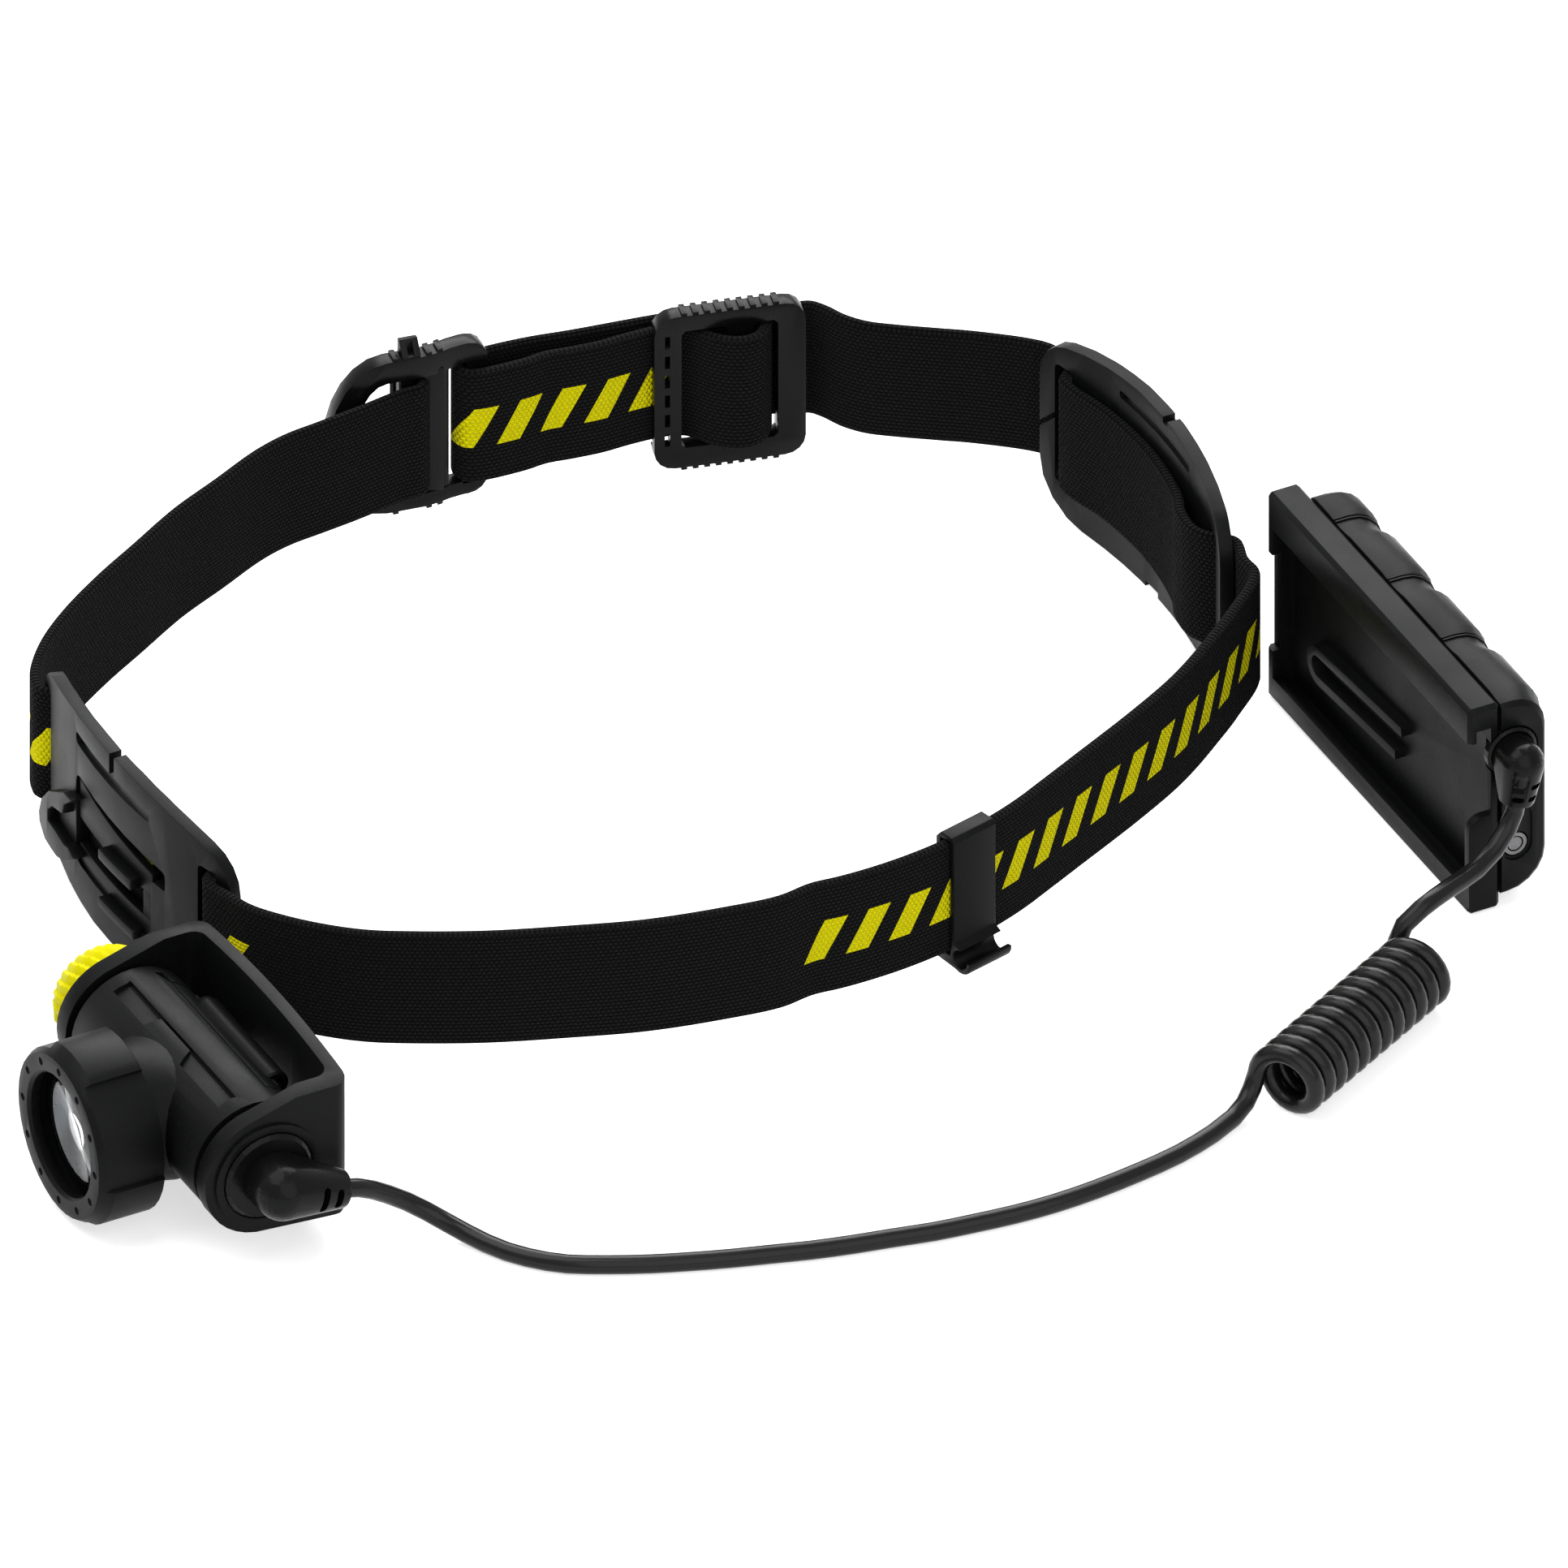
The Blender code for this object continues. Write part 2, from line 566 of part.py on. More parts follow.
def build_strap(root):
    """The elastic strap: one long strip on edge."""
    curve = spline(strap_route(), 0.0004)
    kept = ribbon_stations(curve, 0.0070, math.radians(13.0))
    half = STRAP_THICKNESS / 2.0
    rings = []
    for index in kept:
        ahead = curve[min(index + 1, len(curve) - 1)] - curve[max(index - 1, 0)]
        side = Vector((-ahead.y, ahead.x)).normalized() * half
        left, right = curve[index] + side, curve[index] - side
        rings.append([(left.x, left.y, STRAP_LOW), (right.x, right.y, STRAP_LOW),
                      (right.x, right.y, STRAP_LOW + STRAP_WIDTH),
                      (left.x, left.y, STRAP_LOW + STRAP_WIDTH)])
    part("strap", loft(rings), "elastic_web", root)


# ---- mounting plates --------------------------------------------------------------------------------
def plate_edge(reach, height, corner):
    """One long edge of a plate, from its -X to its +X corner, arched up to a height above the corners."""
    arch = [((reach[0] if share < 0.0 else reach[1]) * share, height * share ** 2, 0.0)
            for share in (-0.65, -0.45, -0.2, 0.2, 0.45, 0.65)]
    return [(-reach[0], height, corner), *arch, (reach[1], height, corner)]


def plate_outline(reach, foot_arch, foot_corner):
    """A plate's outline, arched along its top and foot, with round corners."""
    foot = plate_edge(reach, foot_arch, foot_corner)
    top = plate_edge(reach, PLATE_END_DROP, PLATE_CORNER)
    return fillet(foot + [(along, PLATE_HEIGHT - drop, radius) for along, drop, radius in reversed(top)])


def strap_slot(middle, width=PLATE_SLOT_WIDTH):
    """The outline of a plate's strap slot."""
    low = STRAP_LOW - PLATE_SLOT_MARGIN
    high = STRAP_LOW + STRAP_WIDTH + PLATE_SLOT_MARGIN
    return rectangle(middle - width / 2.0, low, middle + width / 2.0, high, 0.0010, 2)


def bent_plate(name, flat, reach, centre_x, face_y, facing, root):
    """Bends a flat plate, whose y = 0 is its inner face, round the plate's arc and finishes it."""
    stations = np.linspace(-reach[0], reach[1], 2 * round(reach[0] / BEND_STEP) + 1).tolist()
    bm = bend(flat, stations,
              lambda along, out: plate_point(centre_x, face_y, facing, along, PLATE_RADIUS + out))
    return part(name, bm, "black_plastic", root)


def build_front_plate(root):
    """Front mounting plate, whose catches face forward."""
    window = fillet([(-0.0160, 0.0090, 0.002), (0.0140, 0.0090, 0.002), (0.0140, 0.0230, 0.001),
                     (0.0185, 0.0230, 0.0005), (0.0185, 0.0270, 0.001), (-0.0160, 0.0290, 0.002)], 3)
    top_slot = rectangle(-0.0160, 0.0357, 0.0135, 0.0382, 0.0008, 2)
    flat = prism(plate_outline(FRONT_PLATE_REACH, PLATE_END_DROP, PLATE_CORNER), 0.0, PLATE_THICKNESS, "Y",
                 holes=(strap_slot(FRONT_SLOTS[0], FRONT_NARROW_SLOT), strap_slot(FRONT_SLOTS[1]), window, top_slot))
    bent_plate("front_mount_plate", flat, FRONT_PLATE_REACH, FRONT_PLATE_X, FRONT_PLATE_Y, -1.0, root)


def build_rear_plate(root):
    """Rear mounting plate, which the battery pack slides onto."""
    top_slot = rectangle(-0.0135, 0.0375, 0.0150, 0.0392, 0.0006, 2)
    flat = prism(plate_outline(REAR_PLATE_REACH, 0.0003, REAR_PLATE_FOOT_CORNER), 0.0, PLATE_THICKNESS, "Y",
                 holes=(*map(strap_slot, REAR_SLOTS), top_slot))
    bent_plate("rear_mount_plate", flat, REAR_PLATE_REACH, REAR_PLATE_X, REAR_PLATE_Y, 1.0, root)


# ---- slider buckles ---------------------------------------------------------------------------------
def buckle_point(start, turn, along, out):
    """A point of a buckle's plan: along its length and out from the wearer's side."""
    sin, cos = math.sin(turn), math.cos(turn)
    return (start[0] + along * sin - out * cos, start[1] + along * cos + out * sin)


def buckle_ribs(places, width, thickness, middle, half, low=0.0):
    """Grip ribs across a buckle's upper and lower edges, one pair for each place along it."""
    ribs = bmesh.new()
    for along in places:
        for side in (-1.0, 1.0):
            inner, outer = sorted((side * (half - BUCKLE_RIB_HEIGHT), side * (half + BUCKLE_RIB_HEIGHT)))
            rib = block((along, low, middle + inner), (along + width, thickness - low, middle + outer))
            absorb(ribs, rib)
    return ribs


def front_buckle_shift(along, out):
    """Bends the front buckle's end bar away from the wearer."""
    share = min(max((along - 0.0205) / 0.0080, 0.0), 1.0)
    return (along, out + FRONT_BUCKLE_SHIFT * share * share * (3.0 - 2.0 * share))


def build_front_buckle(root):
    """Front slider: a finger bail, a sewn bar, a slit and an end bar that the strap folds round."""
    half = FRONT_BUCKLE_HEIGHT / 2.0
    depth = BUCKLE_THICKNESS
    end = FRONT_BUCKLE_LENGTH
    turns = np.linspace(0.5 * math.pi, 1.5 * math.pi, 13)
    middle = FRONT_BUCKLE_MIDDLE
    reach = BAIL_LENGTH - BAIL_SETBACK
    bail = [(BAIL_LENGTH + reach * math.cos(turn), middle + half * math.sin(turn)) for turn in turns]
    corners = fillet([(end - 0.006, middle - half, 0.0), (end, middle - half, 0.0038),
                      (end, middle + half, 0.0038), (end - 0.006, middle + half, 0.0)])
    inner = reach - BAIL_WALL
    bail_hole = [(BAIL_LENGTH + inner * math.cos(turn), BAND_MIDDLE + BUCKLE_OPENING * math.sin(turn))
                 for turn in turns]
    hole = [*bail_hole, (end - END_BAR_WIDTH, BAND_MIDDLE - BUCKLE_OPENING),
            (end - END_BAR_WIDTH, BAND_MIDDLE + BUCKLE_OPENING)]
    body = to_object("front_buckle_flat", prism(bail + corners, 0.0, depth, "Y", holes=(hole,)))
    top = BAND_MIDDLE + BUCKLE_OPENING + 0.0010
    foot = BAND_MIDDLE - BUCKLE_OPENING - 0.0010
    add(body, block((SEWN_BAR[0], BAR_RELIEF, foot), (SEWN_BAR[1], depth - BAR_RELIEF, top), 0.0004))
    add(body, block((SLIT_BAR[0], 0.0002, foot), (SLIT_BAR[1], depth - 0.0002, top)))
    low = foot + 0.0005
    high = top - 0.0005
    relief = block((end - END_BAR_WIDTH - 0.001, -0.001, low), (end + 0.001, BAR_RELIEF, high))
    absorb(relief, block((end - END_BAR_WIDTH - 0.001, depth - BAR_RELIEF, low),
                         (end + 0.001, depth + 0.001, high)))
    cut(body, relief)
    add(body, buckle_ribs((0.0142, 0.0208, 0.0231), 0.0011, depth, middle, half, 0.0001))
    add(body, thumb_tab(half, depth))
    bm = bend(baked(body), [0.0, 0.0205, 0.0232, 0.0258, 0.0285, end], front_buckle_shift)
    made = part("front_slider_buckle", bm, "black_plastic", root)
    made.location = (*FRONT_BUCKLE_START, 0.0)
    made.rotation_euler.z = math.radians(90.0) - FRONT_BUCKLE_TURN


def thumb_tab(half, depth):
    """The forked tab on the front buckle's upper edge, rising away from the wearer."""
    base = FRONT_BUCKLE_MIDDLE + half - BUCKLE_RIB_HEIGHT
    side = [(0.0001, base), (depth - 0.0001, base), (depth - 0.0001, base + 0.0036),
            (depth - 0.0012, base + 0.0038), (0.0001, base + 2.0 * BUCKLE_RIB_HEIGHT)]
    tab = prism(side, 0.0160, 0.0196, "X")
    fork = block((0.0172, -0.001, base + 2.0 * BUCKLE_RIB_HEIGHT - 0.0002), (0.0184, depth - 0.0014, base + 0.005))
    body = to_object("thumb_tab_flat", tab)
    cut(body, fork)
    return baked(body)


def build_rear_buckle(root):
    """Rear slider: a frame with three bars; the middle one carries the sewn loop."""
    half = REAR_BUCKLE_HEIGHT / 2.0
    depth = BUCKLE_THICKNESS
    end = REAR_BUCKLE_LENGTH
    middle = REAR_BUCKLE_MIDDLE
    outline = rectangle(0.0, middle - half, end, middle + half, 0.0040, 4)
    low, high = BAND_MIDDLE - BUCKLE_OPENING, BAND_MIDDLE + BUCKLE_OPENING
    holes = [rectangle(REAR_BARS[0][1], low, REAR_BARS[1][0], high, 0.0008, 1),
             rectangle(REAR_BARS[1][1], low, REAR_BARS[2][0], high, 0.0008, 1)]
    pitch = 2.0 * BUCKLE_OPENING / REAR_BAR_SLOTS
    for k in range(REAR_BAR_SLOTS):
        level = low + pitch * (k + 0.5)
        holes.append(rectangle(0.0020, level - 0.0014, 0.0030, level + 0.0014))
    made = part("rear_slider_buckle", prism(outline, 0.0, depth, "Y", holes=holes), "black_plastic", root)
    made.location = (*REAR_BUCKLE_START, 0.0)
    made.rotation_euler.z = math.radians(90.0) - REAR_BUCKLE_TURN
    cut(made, block((-0.001, REAR_BAR_THICKNESS, low), (REAR_BARS[0][1] + 0.001, depth + 0.001,
                                                                         high)))
    ribs = buckle_ribs([0.0052 + 0.0022 * k for k in range(9)], 0.0011, depth, middle, half, 0.0001)
    add(made, ribs)


# ---- cable clip -------------------------------------------------------------------------------------
def clip_section():
    """The clip's outline across the strap: out from the strap's middle, and up."""
    low = STRAP_LOW - CLIP_SLACK
    high = STRAP_LOW + STRAP_WIDTH + CLIP_SLACK
    near = STRAP_THICKNESS / 2.0 + CLIP_SLACK
    wall = CLIP_WALL
    far = near + wall
    middle = (far + CLIP_RING_BORE - 0.0004, CLIP_RING_HEIGHT)
    outer = CLIP_RING_BORE + CLIP_RING_WALL
    start = math.radians(45.0) + CLIP_RING_MOUTH / 2.0
    turn = 2.0 * math.pi - CLIP_RING_MOUTH
    bore = [(middle[0] + CLIP_RING_BORE * math.cos(start + turn * k / 14.0),
             middle[1] + CLIP_RING_BORE * math.sin(start + turn * k / 14.0)) for k in range(15)]
    rim = [(middle[0] + outer * math.cos(start + turn * k / 14.0),
            middle[1] + outer * math.sin(start + turn * k / 14.0)) for k in range(14, 7, -1)]
    leg = [(-far, low - CLIP_FOOT), (-far, low + 0.0050), (-near, low + 0.0050), (-near, low), (near, low),
           (near, high), (-near, high), (-near, high - 0.0120), (-far, high - 0.0120), (-far, high + wall - 0.0015),
           (-far + 0.0013, high + wall), (far - 0.0008, high + wall), (far, high + wall - 0.0008),
           (far, middle[1] + outer * math.sin(start) - 0.0002)]
    return leg, bore, rim


def build_clip(root):
    """The clip that hangs on the strap and holds the lead; its empty stands on the axis that it slides round."""
    axis = empty("clip_axis", (*CLIP_ARC_CENTRE, 0.0), root)
    leg, bore, rim = clip_section()
    half = CLIP_WIDTH / 2.0
    outline = leg + bore + rim
    made = part("cable_clip", prism(outline, -half, half, "Y"), "black_plastic", axis)
    made.location = (CLIP_ARC_RADIUS * math.cos(CLIP_ANGLE), CLIP_ARC_RADIUS * math.sin(CLIP_ANGLE), 0.0)
    made.rotation_euler.z = CLIP_ANGLE


# ---- lamp bracket -----------------------------------------------------------------------------------
YOKE_HALF = YOKE_WIDTH / 2.0
ARM_INSIDE = YOKE_HALF - ARM_THICKNESS
YOKE_LOW = YOKE_FLOOR_GAP - PIVOT_Z
TRUNNION_BORE = TRUNNION_RADIUS + RUNNING_GAP


def build_yoke(tilt):
    """The bracket: a round-cornered U whose arms end in discs round the pivots."""
    front = -ARM_RADIUS - 0.001
    inside_back = YOKE_BACK - YOKE_BACK_WALL
    plan = fillet([(-YOKE_HALF, front, 0.0), (-ARM_INSIDE, front, 0.0),
                   (-ARM_INSIDE, inside_back, YOKE_INNER_CORNER), (ARM_INSIDE, inside_back, YOKE_INNER_CORNER),
                   (ARM_INSIDE, front, 0.0), (YOKE_HALF, front, 0.0),
                   (YOKE_HALF, YOKE_BACK, YOKE_OUTER_CORNER), (-YOKE_HALF, YOKE_BACK, YOKE_OUTER_CORNER)])
    yoke = part("lamp_yoke", prism(plan, YOKE_LOW, YOKE_ARCH_TOP, "Z"), "black_plastic", tilt.parent)
    yoke.location = tilt.location
    side = hull(circle(0.0, 0.0, ARM_RADIUS, 36)
                + fillet([(0.0, YOKE_LOW, 0.0), (YOKE_BACK, YOKE_LOW, 0.0022), (YOKE_BACK, YOKE_ARCH_TOP, 0.0),
                          (YOKE_BACK - 0.0032, YOKE_ARCH_TOP, 0.0), (0.0, 0.0, 0.0)])[1:-1])
    keep(yoke, prism(side, -YOKE_HALF - 0.001, YOKE_HALF + 0.001, "X"))
    rise = YOKE_ARCH_TOP - YOKE_CORNER_TOP
    arch = [(YOKE_HALF * share, YOKE_ARCH_TOP - rise * share ** 2) for share in np.linspace(1.0, -1.0, 11)]
    face = [(-YOKE_HALF - 0.001, YOKE_CORNER_TOP), (-YOKE_HALF - 0.001, YOKE_LOW - 0.001),
            (YOKE_HALF + 0.001, YOKE_LOW - 0.001), (YOKE_HALF + 0.001, YOKE_CORNER_TOP), *arch]
    keep(yoke, prism(face, front - 0.001, YOKE_BACK + 0.001, "Y"))
    collar = tube_ring(COLLAR_RADIUS - COLLAR_WIDTH, COLLAR_RADIUS, YOKE_HALF - 0.0004,
                       YOKE_HALF + COLLAR_HEIGHT, (1.0, 0.0, 0.0))
    add(yoke, collar)
    cut(yoke, rod(TRUNNION_BORE, -YOKE_HALF - 0.002, YOKE_HALF + 0.002, (1.0, 0.0, 0.0)))
    hook_slot = hull(circle(-0.008, -0.002, 0.0032, 12) + circle(0.008, -0.002, 0.0032, 12))
    cut(yoke, prism(hook_slot, inside_back - 0.001, YOKE_BACK + 0.001, "Y"))
    for side_name, sign in (("left", -1.0), ("right", 1.0)):
        near = ARM_INSIDE - WASHER_THICKNESS - GAP
        washer = part(f"{side_name}_pivot_washer",
                      tube_ring(TRUNNION_BORE, ARM_RADIUS - 0.003, near, near + WASHER_THICKNESS,
                                (sign, 0.0, 0.0)), "black_rubber", tilt.parent)
        washer.location = tilt.location


def elbow_shape(reach, base_radius, dome_radius, tail, tail_radii, grip_slots):
    """A right-angle strain relief: a base along X, a round knee and a tapered tail.

    Its origin is the middle of the base's seat and tail is the tail's end from the knee's middle.
    """
    knee = Vector((reach, 0.0, 0.0))
    way = Vector(tail)
    seam = math.acos(base_radius / dome_radius)
    dome = [(dome_radius * math.cos(turn), reach + dome_radius * math.sin(turn))
            for turn in np.linspace(-seam, 0.5 * math.pi, 7)[:-1]]
    body = to_object("elbow_shape", turned([(0.0, 0.0), (base_radius, 0.0), *dome, (0.0, reach + dome_radius)],
                                           (1.0, 0.0, 0.0), steps=SMALL_ROUND_STEPS))
    add(body, rod(tail_radii[0], 0.0, way.length, way, knee, SMALL_ROUND_STEPS, tail_radii[1]))
    across = Vector((1.0, 0.0, 0.0))
    over = way.cross(across).normalized()
    for share in grip_slots:
        middle = knee + way * share
        for sign in (-1.0, 1.0):
            notch = block((-0.0005, -0.0016, -0.0011), (0.0005, 0.0016, 0.0011))
            frame = Matrix((way.normalized(), over, across)).transposed().to_4x4()
            radius = tail_radii[0] + (tail_radii[1] - tail_radii[0]) * share
            bmesh.ops.transform(notch, matrix=Matrix.Translation(middle + across * sign * radius) @ frame,
                                verts=notch.verts)
            cut(body, notch)
    return baked(body)


def build_lamp_gland(tilt):
    """Gland disc and strain relief of the lead on the bracket's right arm."""
    seat = YOKE_HALF + GAP
    rim = COLLAR_RADIUS - COLLAR_WIDTH - GAP
    face = seat + GLAND_HEIGHT
    disc = turned([(0.0, seat), (rim, seat), (rim, seat + 0.0006), (GLAND_RADIUS, face), (0.0, face)],
                  (1.0, 0.0, 0.0))
    gland = part("lamp_gland_disc", disc, "black_rubber", tilt.parent)
    gland.location = tilt.location
    elbow_seat = face + GAP
    elbow = elbow_shape(YOKE_HALF + LAMP_ELBOW_REACH - elbow_seat, LAMP_ELBOW_RADIUS - 0.0002,
                        LAMP_ELBOW_RADIUS, LAMP_TAIL, LAMP_TAIL_RADII, (0.62, 0.82))
    made = part("lamp_strain_relief", elbow, "black_rubber", tilt.parent)
    made.location = Vector(tilt.location) + Vector((elbow_seat, 0.0, 0.0))


# ---- lamp head --------------------------------------------------------------------------------------
BARREL_HALF = ARM_INSIDE - WASHER_THICKNESS - 2.0 * GAP
BARREL_INSIDE = BARREL_RADIUS - BARREL_WALL
NECK_SHOULDER = BEZEL_FRONT - BEZEL_LENGTH
NECK_BORE = NECK_RADIUS - NECK_WALL
NECK_END = NECK_SHOULDER + NECK_INSERT
SINK_SEAT = 0.0060              # pivot to the step that the heat sink rests on
SINK_FLANGE = 0.0023
BOARD_THICKNESS = 0.0010
COVER_GAP = 0.0003


def ellipse(half_x, half_z, y, steps):
    """A ring of points round the beam axis."""
    return [(half_x * math.cos(2.0 * math.pi * k / steps), y,
             half_z * math.sin(2.0 * math.pi * k / steps) - BEAM_DROP) for k in range(steps)]


def cover_sector(inner, outer, margin=0.0):
    """The outline of a wall sector at the barrel's back, wider by a margin angle on each side."""
    angles = np.linspace(COVER_ANGLE - COVER_HALF_ANGLE - margin, COVER_ANGLE + COVER_HALF_ANGLE + margin, 7)
    return ([(outer * math.cos(angle), outer * math.sin(angle)) for angle in angles]
            + [(inner * math.cos(angle), inner * math.sin(angle)) for angle in reversed(angles)])


def build_housing(tilt):
    """Lamp housing: a barrel along the pivots, a flared neck and the collar that the bezel turns on."""
    barrel = rod(BARREL_RADIUS, -BARREL_HALF, BARREL_HALF, (1.0, 0.0, 0.0), steps=36)
    housing = part("lamp_housing", barrel, "black_plastic", tilt)
    window = cover_sector(BARREL_INSIDE - 0.0012, BARREL_RADIUS + 0.001, COVER_GAP / BARREL_RADIUS)
    reach = COVER_LENGTH / 2.0 + COVER_GAP
    cut(housing, prism(window, -reach, reach, "X"))
    flare = [(SKIRT_FRONT_RADIUS, SKIRT_FRONT_RADIUS, -NECK_SHOULDER),
             (SKIRT_FRONT_RADIUS + 0.0002, SKIRT_FRONT_RADIUS, -NECK_SHOULDER + 0.0035),
             (0.55 * SKIRT_WIDTH + 0.45 * SKIRT_FRONT_RADIUS, SKIRT_FRONT_RADIUS - 0.0002, -0.0085),
             (SKIRT_WIDTH - 0.0003, SKIRT_HEIGHT, -0.0045), (SKIRT_WIDTH, SKIRT_HEIGHT - 0.0012, -0.0010),
             (SKIRT_WIDTH - 0.0030, SKIRT_HEIGHT - 0.0050, 0.0035)]
    add(housing, loft([ellipse(*ring, 36) for ring in flare]))
    beam = (0.0, 0.0, -BEAM_DROP)
    front = (0.0, -1.0, 0.0)
    add(housing, rod(NECK_RADIUS, NECK_SHOULDER - 0.002, NECK_END, front, beam, 32))
    groove = tube_ring(NECK_RADIUS - 0.0007, NECK_RADIUS + 0.001, NECK_SHOULDER + 0.0022,
                       NECK_SHOULDER + 0.0036, front, beam, 32)
    cut(housing, groove)
    bore = turned([(0.0, -0.0002), (NECK_BORE - 0.0020, -0.0002), (NECK_BORE - 0.0020, SINK_SEAT),
                   (NECK_BORE, SINK_SEAT), (NECK_BORE, NECK_END + 0.001), (0.0, NECK_END + 0.001)],
                  front, beam, 28)
    cut(housing, bore)
    end = BARREL_HALF + 0.001
    wall = BARREL_HALF - BARREL_WALL
    inside = turned([(0.0, -end), (TRUNNION_BORE, -end), (TRUNNION_BORE, -wall), (BARREL_INSIDE, -wall),
                     (BARREL_INSIDE, wall), (TRUNNION_BORE, wall), (TRUNNION_BORE, end), (0.0, end)],
                    (1.0, 0.0, 0.0))
    cut(housing, inside)
    cover = part("barrel_cover",
                 prism(cover_sector(BARREL_RADIUS - COVER_THICKNESS, BARREL_RADIUS),
                       -COVER_LENGTH / 2.0, COVER_LENGTH / 2.0, "X"), "black_plastic", tilt)
    boss = prism(hull(circle(BOSS_ENDS[0], 0.0, BOSS_RADIUS, 10) + circle(BOSS_ENDS[1], 0.0, BOSS_RADIUS, 10)),
                 BARREL_RADIUS - 0.001, BOSS_REACH, "Y")
    bmesh.ops.transform(boss, matrix=Matrix.Rotation(COVER_ANGLE, 4, "X"), verts=boss.verts)
    add(cover, boss)


def build_trunnions(tilt):
    """Hollow pivots of the head: the lead's wires pass through the right one, the dimmer shaft the left."""
    wall_inside = BARREL_HALF - BARREL_WALL
    for name, sign in (("left", -1.0), ("right", 1.0)):
        profile = [(SHAFT_RADIUS + 0.0008, wall_inside - GAP - 0.0014), (0.0068, wall_inside - GAP - 0.0014),
                   (0.0068, wall_inside - GAP), (TRUNNION_RADIUS, wall_inside - GAP),
                   (TRUNNION_RADIUS, YOKE_HALF), (SHAFT_RADIUS + 0.0008, YOKE_HALF)]
        part(f"{name}_trunnion", turned(profile, (sign, 0.0, 0.0), ring=True, steps=20), "black_plastic",
             tilt)


def build_light_engine(tilt):
    """Heat sink, LED board with its emitter, and the driver board behind them."""
    front = (0.0, -1.0, 0.0)
    beam = (0.0, 0.0, -BEAM_DROP)
    seat = SINK_SEAT + GAP
    face = seat + SINK_FLANGE
    sink = turned([(0.0, -0.0034), (0.0070, -0.0034), (0.0074, -0.0004), (NECK_BORE - 0.0026, 0.0010),
                   (NECK_BORE - 0.0026, seat), (NECK_BORE - GAP, seat), (NECK_BORE - GAP, face),
                   (0.0, face)], front, beam)
    part("heat_sink", sink, "aluminium", tilt)
    board_face = face + GAP + BOARD_THICKNESS
    part("led_board", rod(0.0080, face + GAP, board_face, front, beam, 20), "circuit_board", tilt)
    emitter = turned([(0.0, board_face + GAP), (0.0017, board_face + GAP), (0.0017, board_face + 0.0009),
                      (0.0012, board_face + 0.0017), (0.0, board_face + 0.0020)], front, beam, 14)
    part("led_emitter", emitter, "emitter_phosphor", tilt)
    part("driver_board", block((-0.0170, 0.0042, -0.0072), (0.0170, 0.0052, 0.0072)), "circuit_board", tilt)
    part("rotary_switch", tube_ring(SHAFT_RADIUS + GAP, 0.0040, 0.0096, 0.0140, (-1.0, 0.0, 0.0), steps=18),
         "black_plastic", tilt)


def build_wheel(tilt):
    """Knurled brightness wheel on its shaft, with a seal and a return spring."""
    axis = empty("wheel_axis", (0.0, 0.0, 0.0), tilt)
    inner = YOKE_HALF + RUNNING_GAP
    outer = inner + WHEEL_THICKNESS
    left = (-1.0, 0.0, 0.0)
    teeth = []
    for k in range(WHEEL_TEETH):
        for share, radius in ((0.1, WHEEL_RADIUS - 0.0007), (0.35, WHEEL_RADIUS), (0.85, WHEEL_RADIUS)):
            angle = 2.0 * math.pi * (k + share) / WHEEL_TEETH
            teeth.append((radius * math.cos(angle), radius * math.sin(angle)))
    wheel = part("brightness_wheel", prism(teeth, -outer, -inner, "X"), "yellow_plastic", axis)
    taper = (WHEEL_RADIUS - WHEEL_FACE_RADIUS) / (WHEEL_THICKNESS - WHEEL_RIM)
    past = 0.0005
    cone = turned([(0.0, inner - past), (WHEEL_RADIUS + past, inner - past),
                   (WHEEL_RADIUS + past, inner + WHEEL_RIM - past / taper),
                   (WHEEL_FACE_RADIUS - past * taper, outer + past), (0.0, outer + past)], left, steps=40)
    keep(wheel, cone)
    seal_groove = tube_ring(0.0066, 0.0088, inner - 0.001, inner + 0.0015, left)
    cut(wheel, seal_groove)
    cut(wheel, rod(SHAFT_RADIUS + GAP, inner - 0.001, outer - 0.0015, left, steps=SMALL_ROUND_STEPS))
    part("wheel_shaft", rod(SHAFT_RADIUS, 0.0094, outer - 0.0015 - GAP, left, steps=SMALL_ROUND_STEPS),
         "spring_steel", axis)
    part("wheel_seal", tube_ring(0.0069, 0.0085, inner - RUNNING_GAP + GAP, inner + 0.0012, left, steps=20),
         "black_rubber", axis)
    spring = [(-(0.0150 + 0.0044 * k / 48.0), 0.0033 * math.cos(2.0 * math.pi * k / 12.0),
               0.0033 * math.sin(2.0 * math.pi * k / 12.0)) for k in range(49)]
    wire("wheel_return_spring", spring, 0.0005, "spring_steel", tilt)


def wire(name, points, diameter, look, parent):
    """A round wire or cord along points, with closed ends."""
    curve = bpy.data.curves.new(name, "CURVE")
    curve.dimensions = "3D"
    curve.bevel_depth = diameter / 2.0
    curve.bevel_resolution = 2 if diameter > 0.001 else 1
    curve.use_fill_caps = True
    run = curve.splines.new("POLY")
    run.points.add(len(points) - 1)
    for knot, point in zip(run.points, points):
        knot.co = (*point, 1.0)
    made = bpy.data.objects.new(name, curve)
    bpy.context.collection.objects.link(made)
    made.data.materials.append(finish(look))
    made.parent = parent
    PARTS.append(made)
    return made


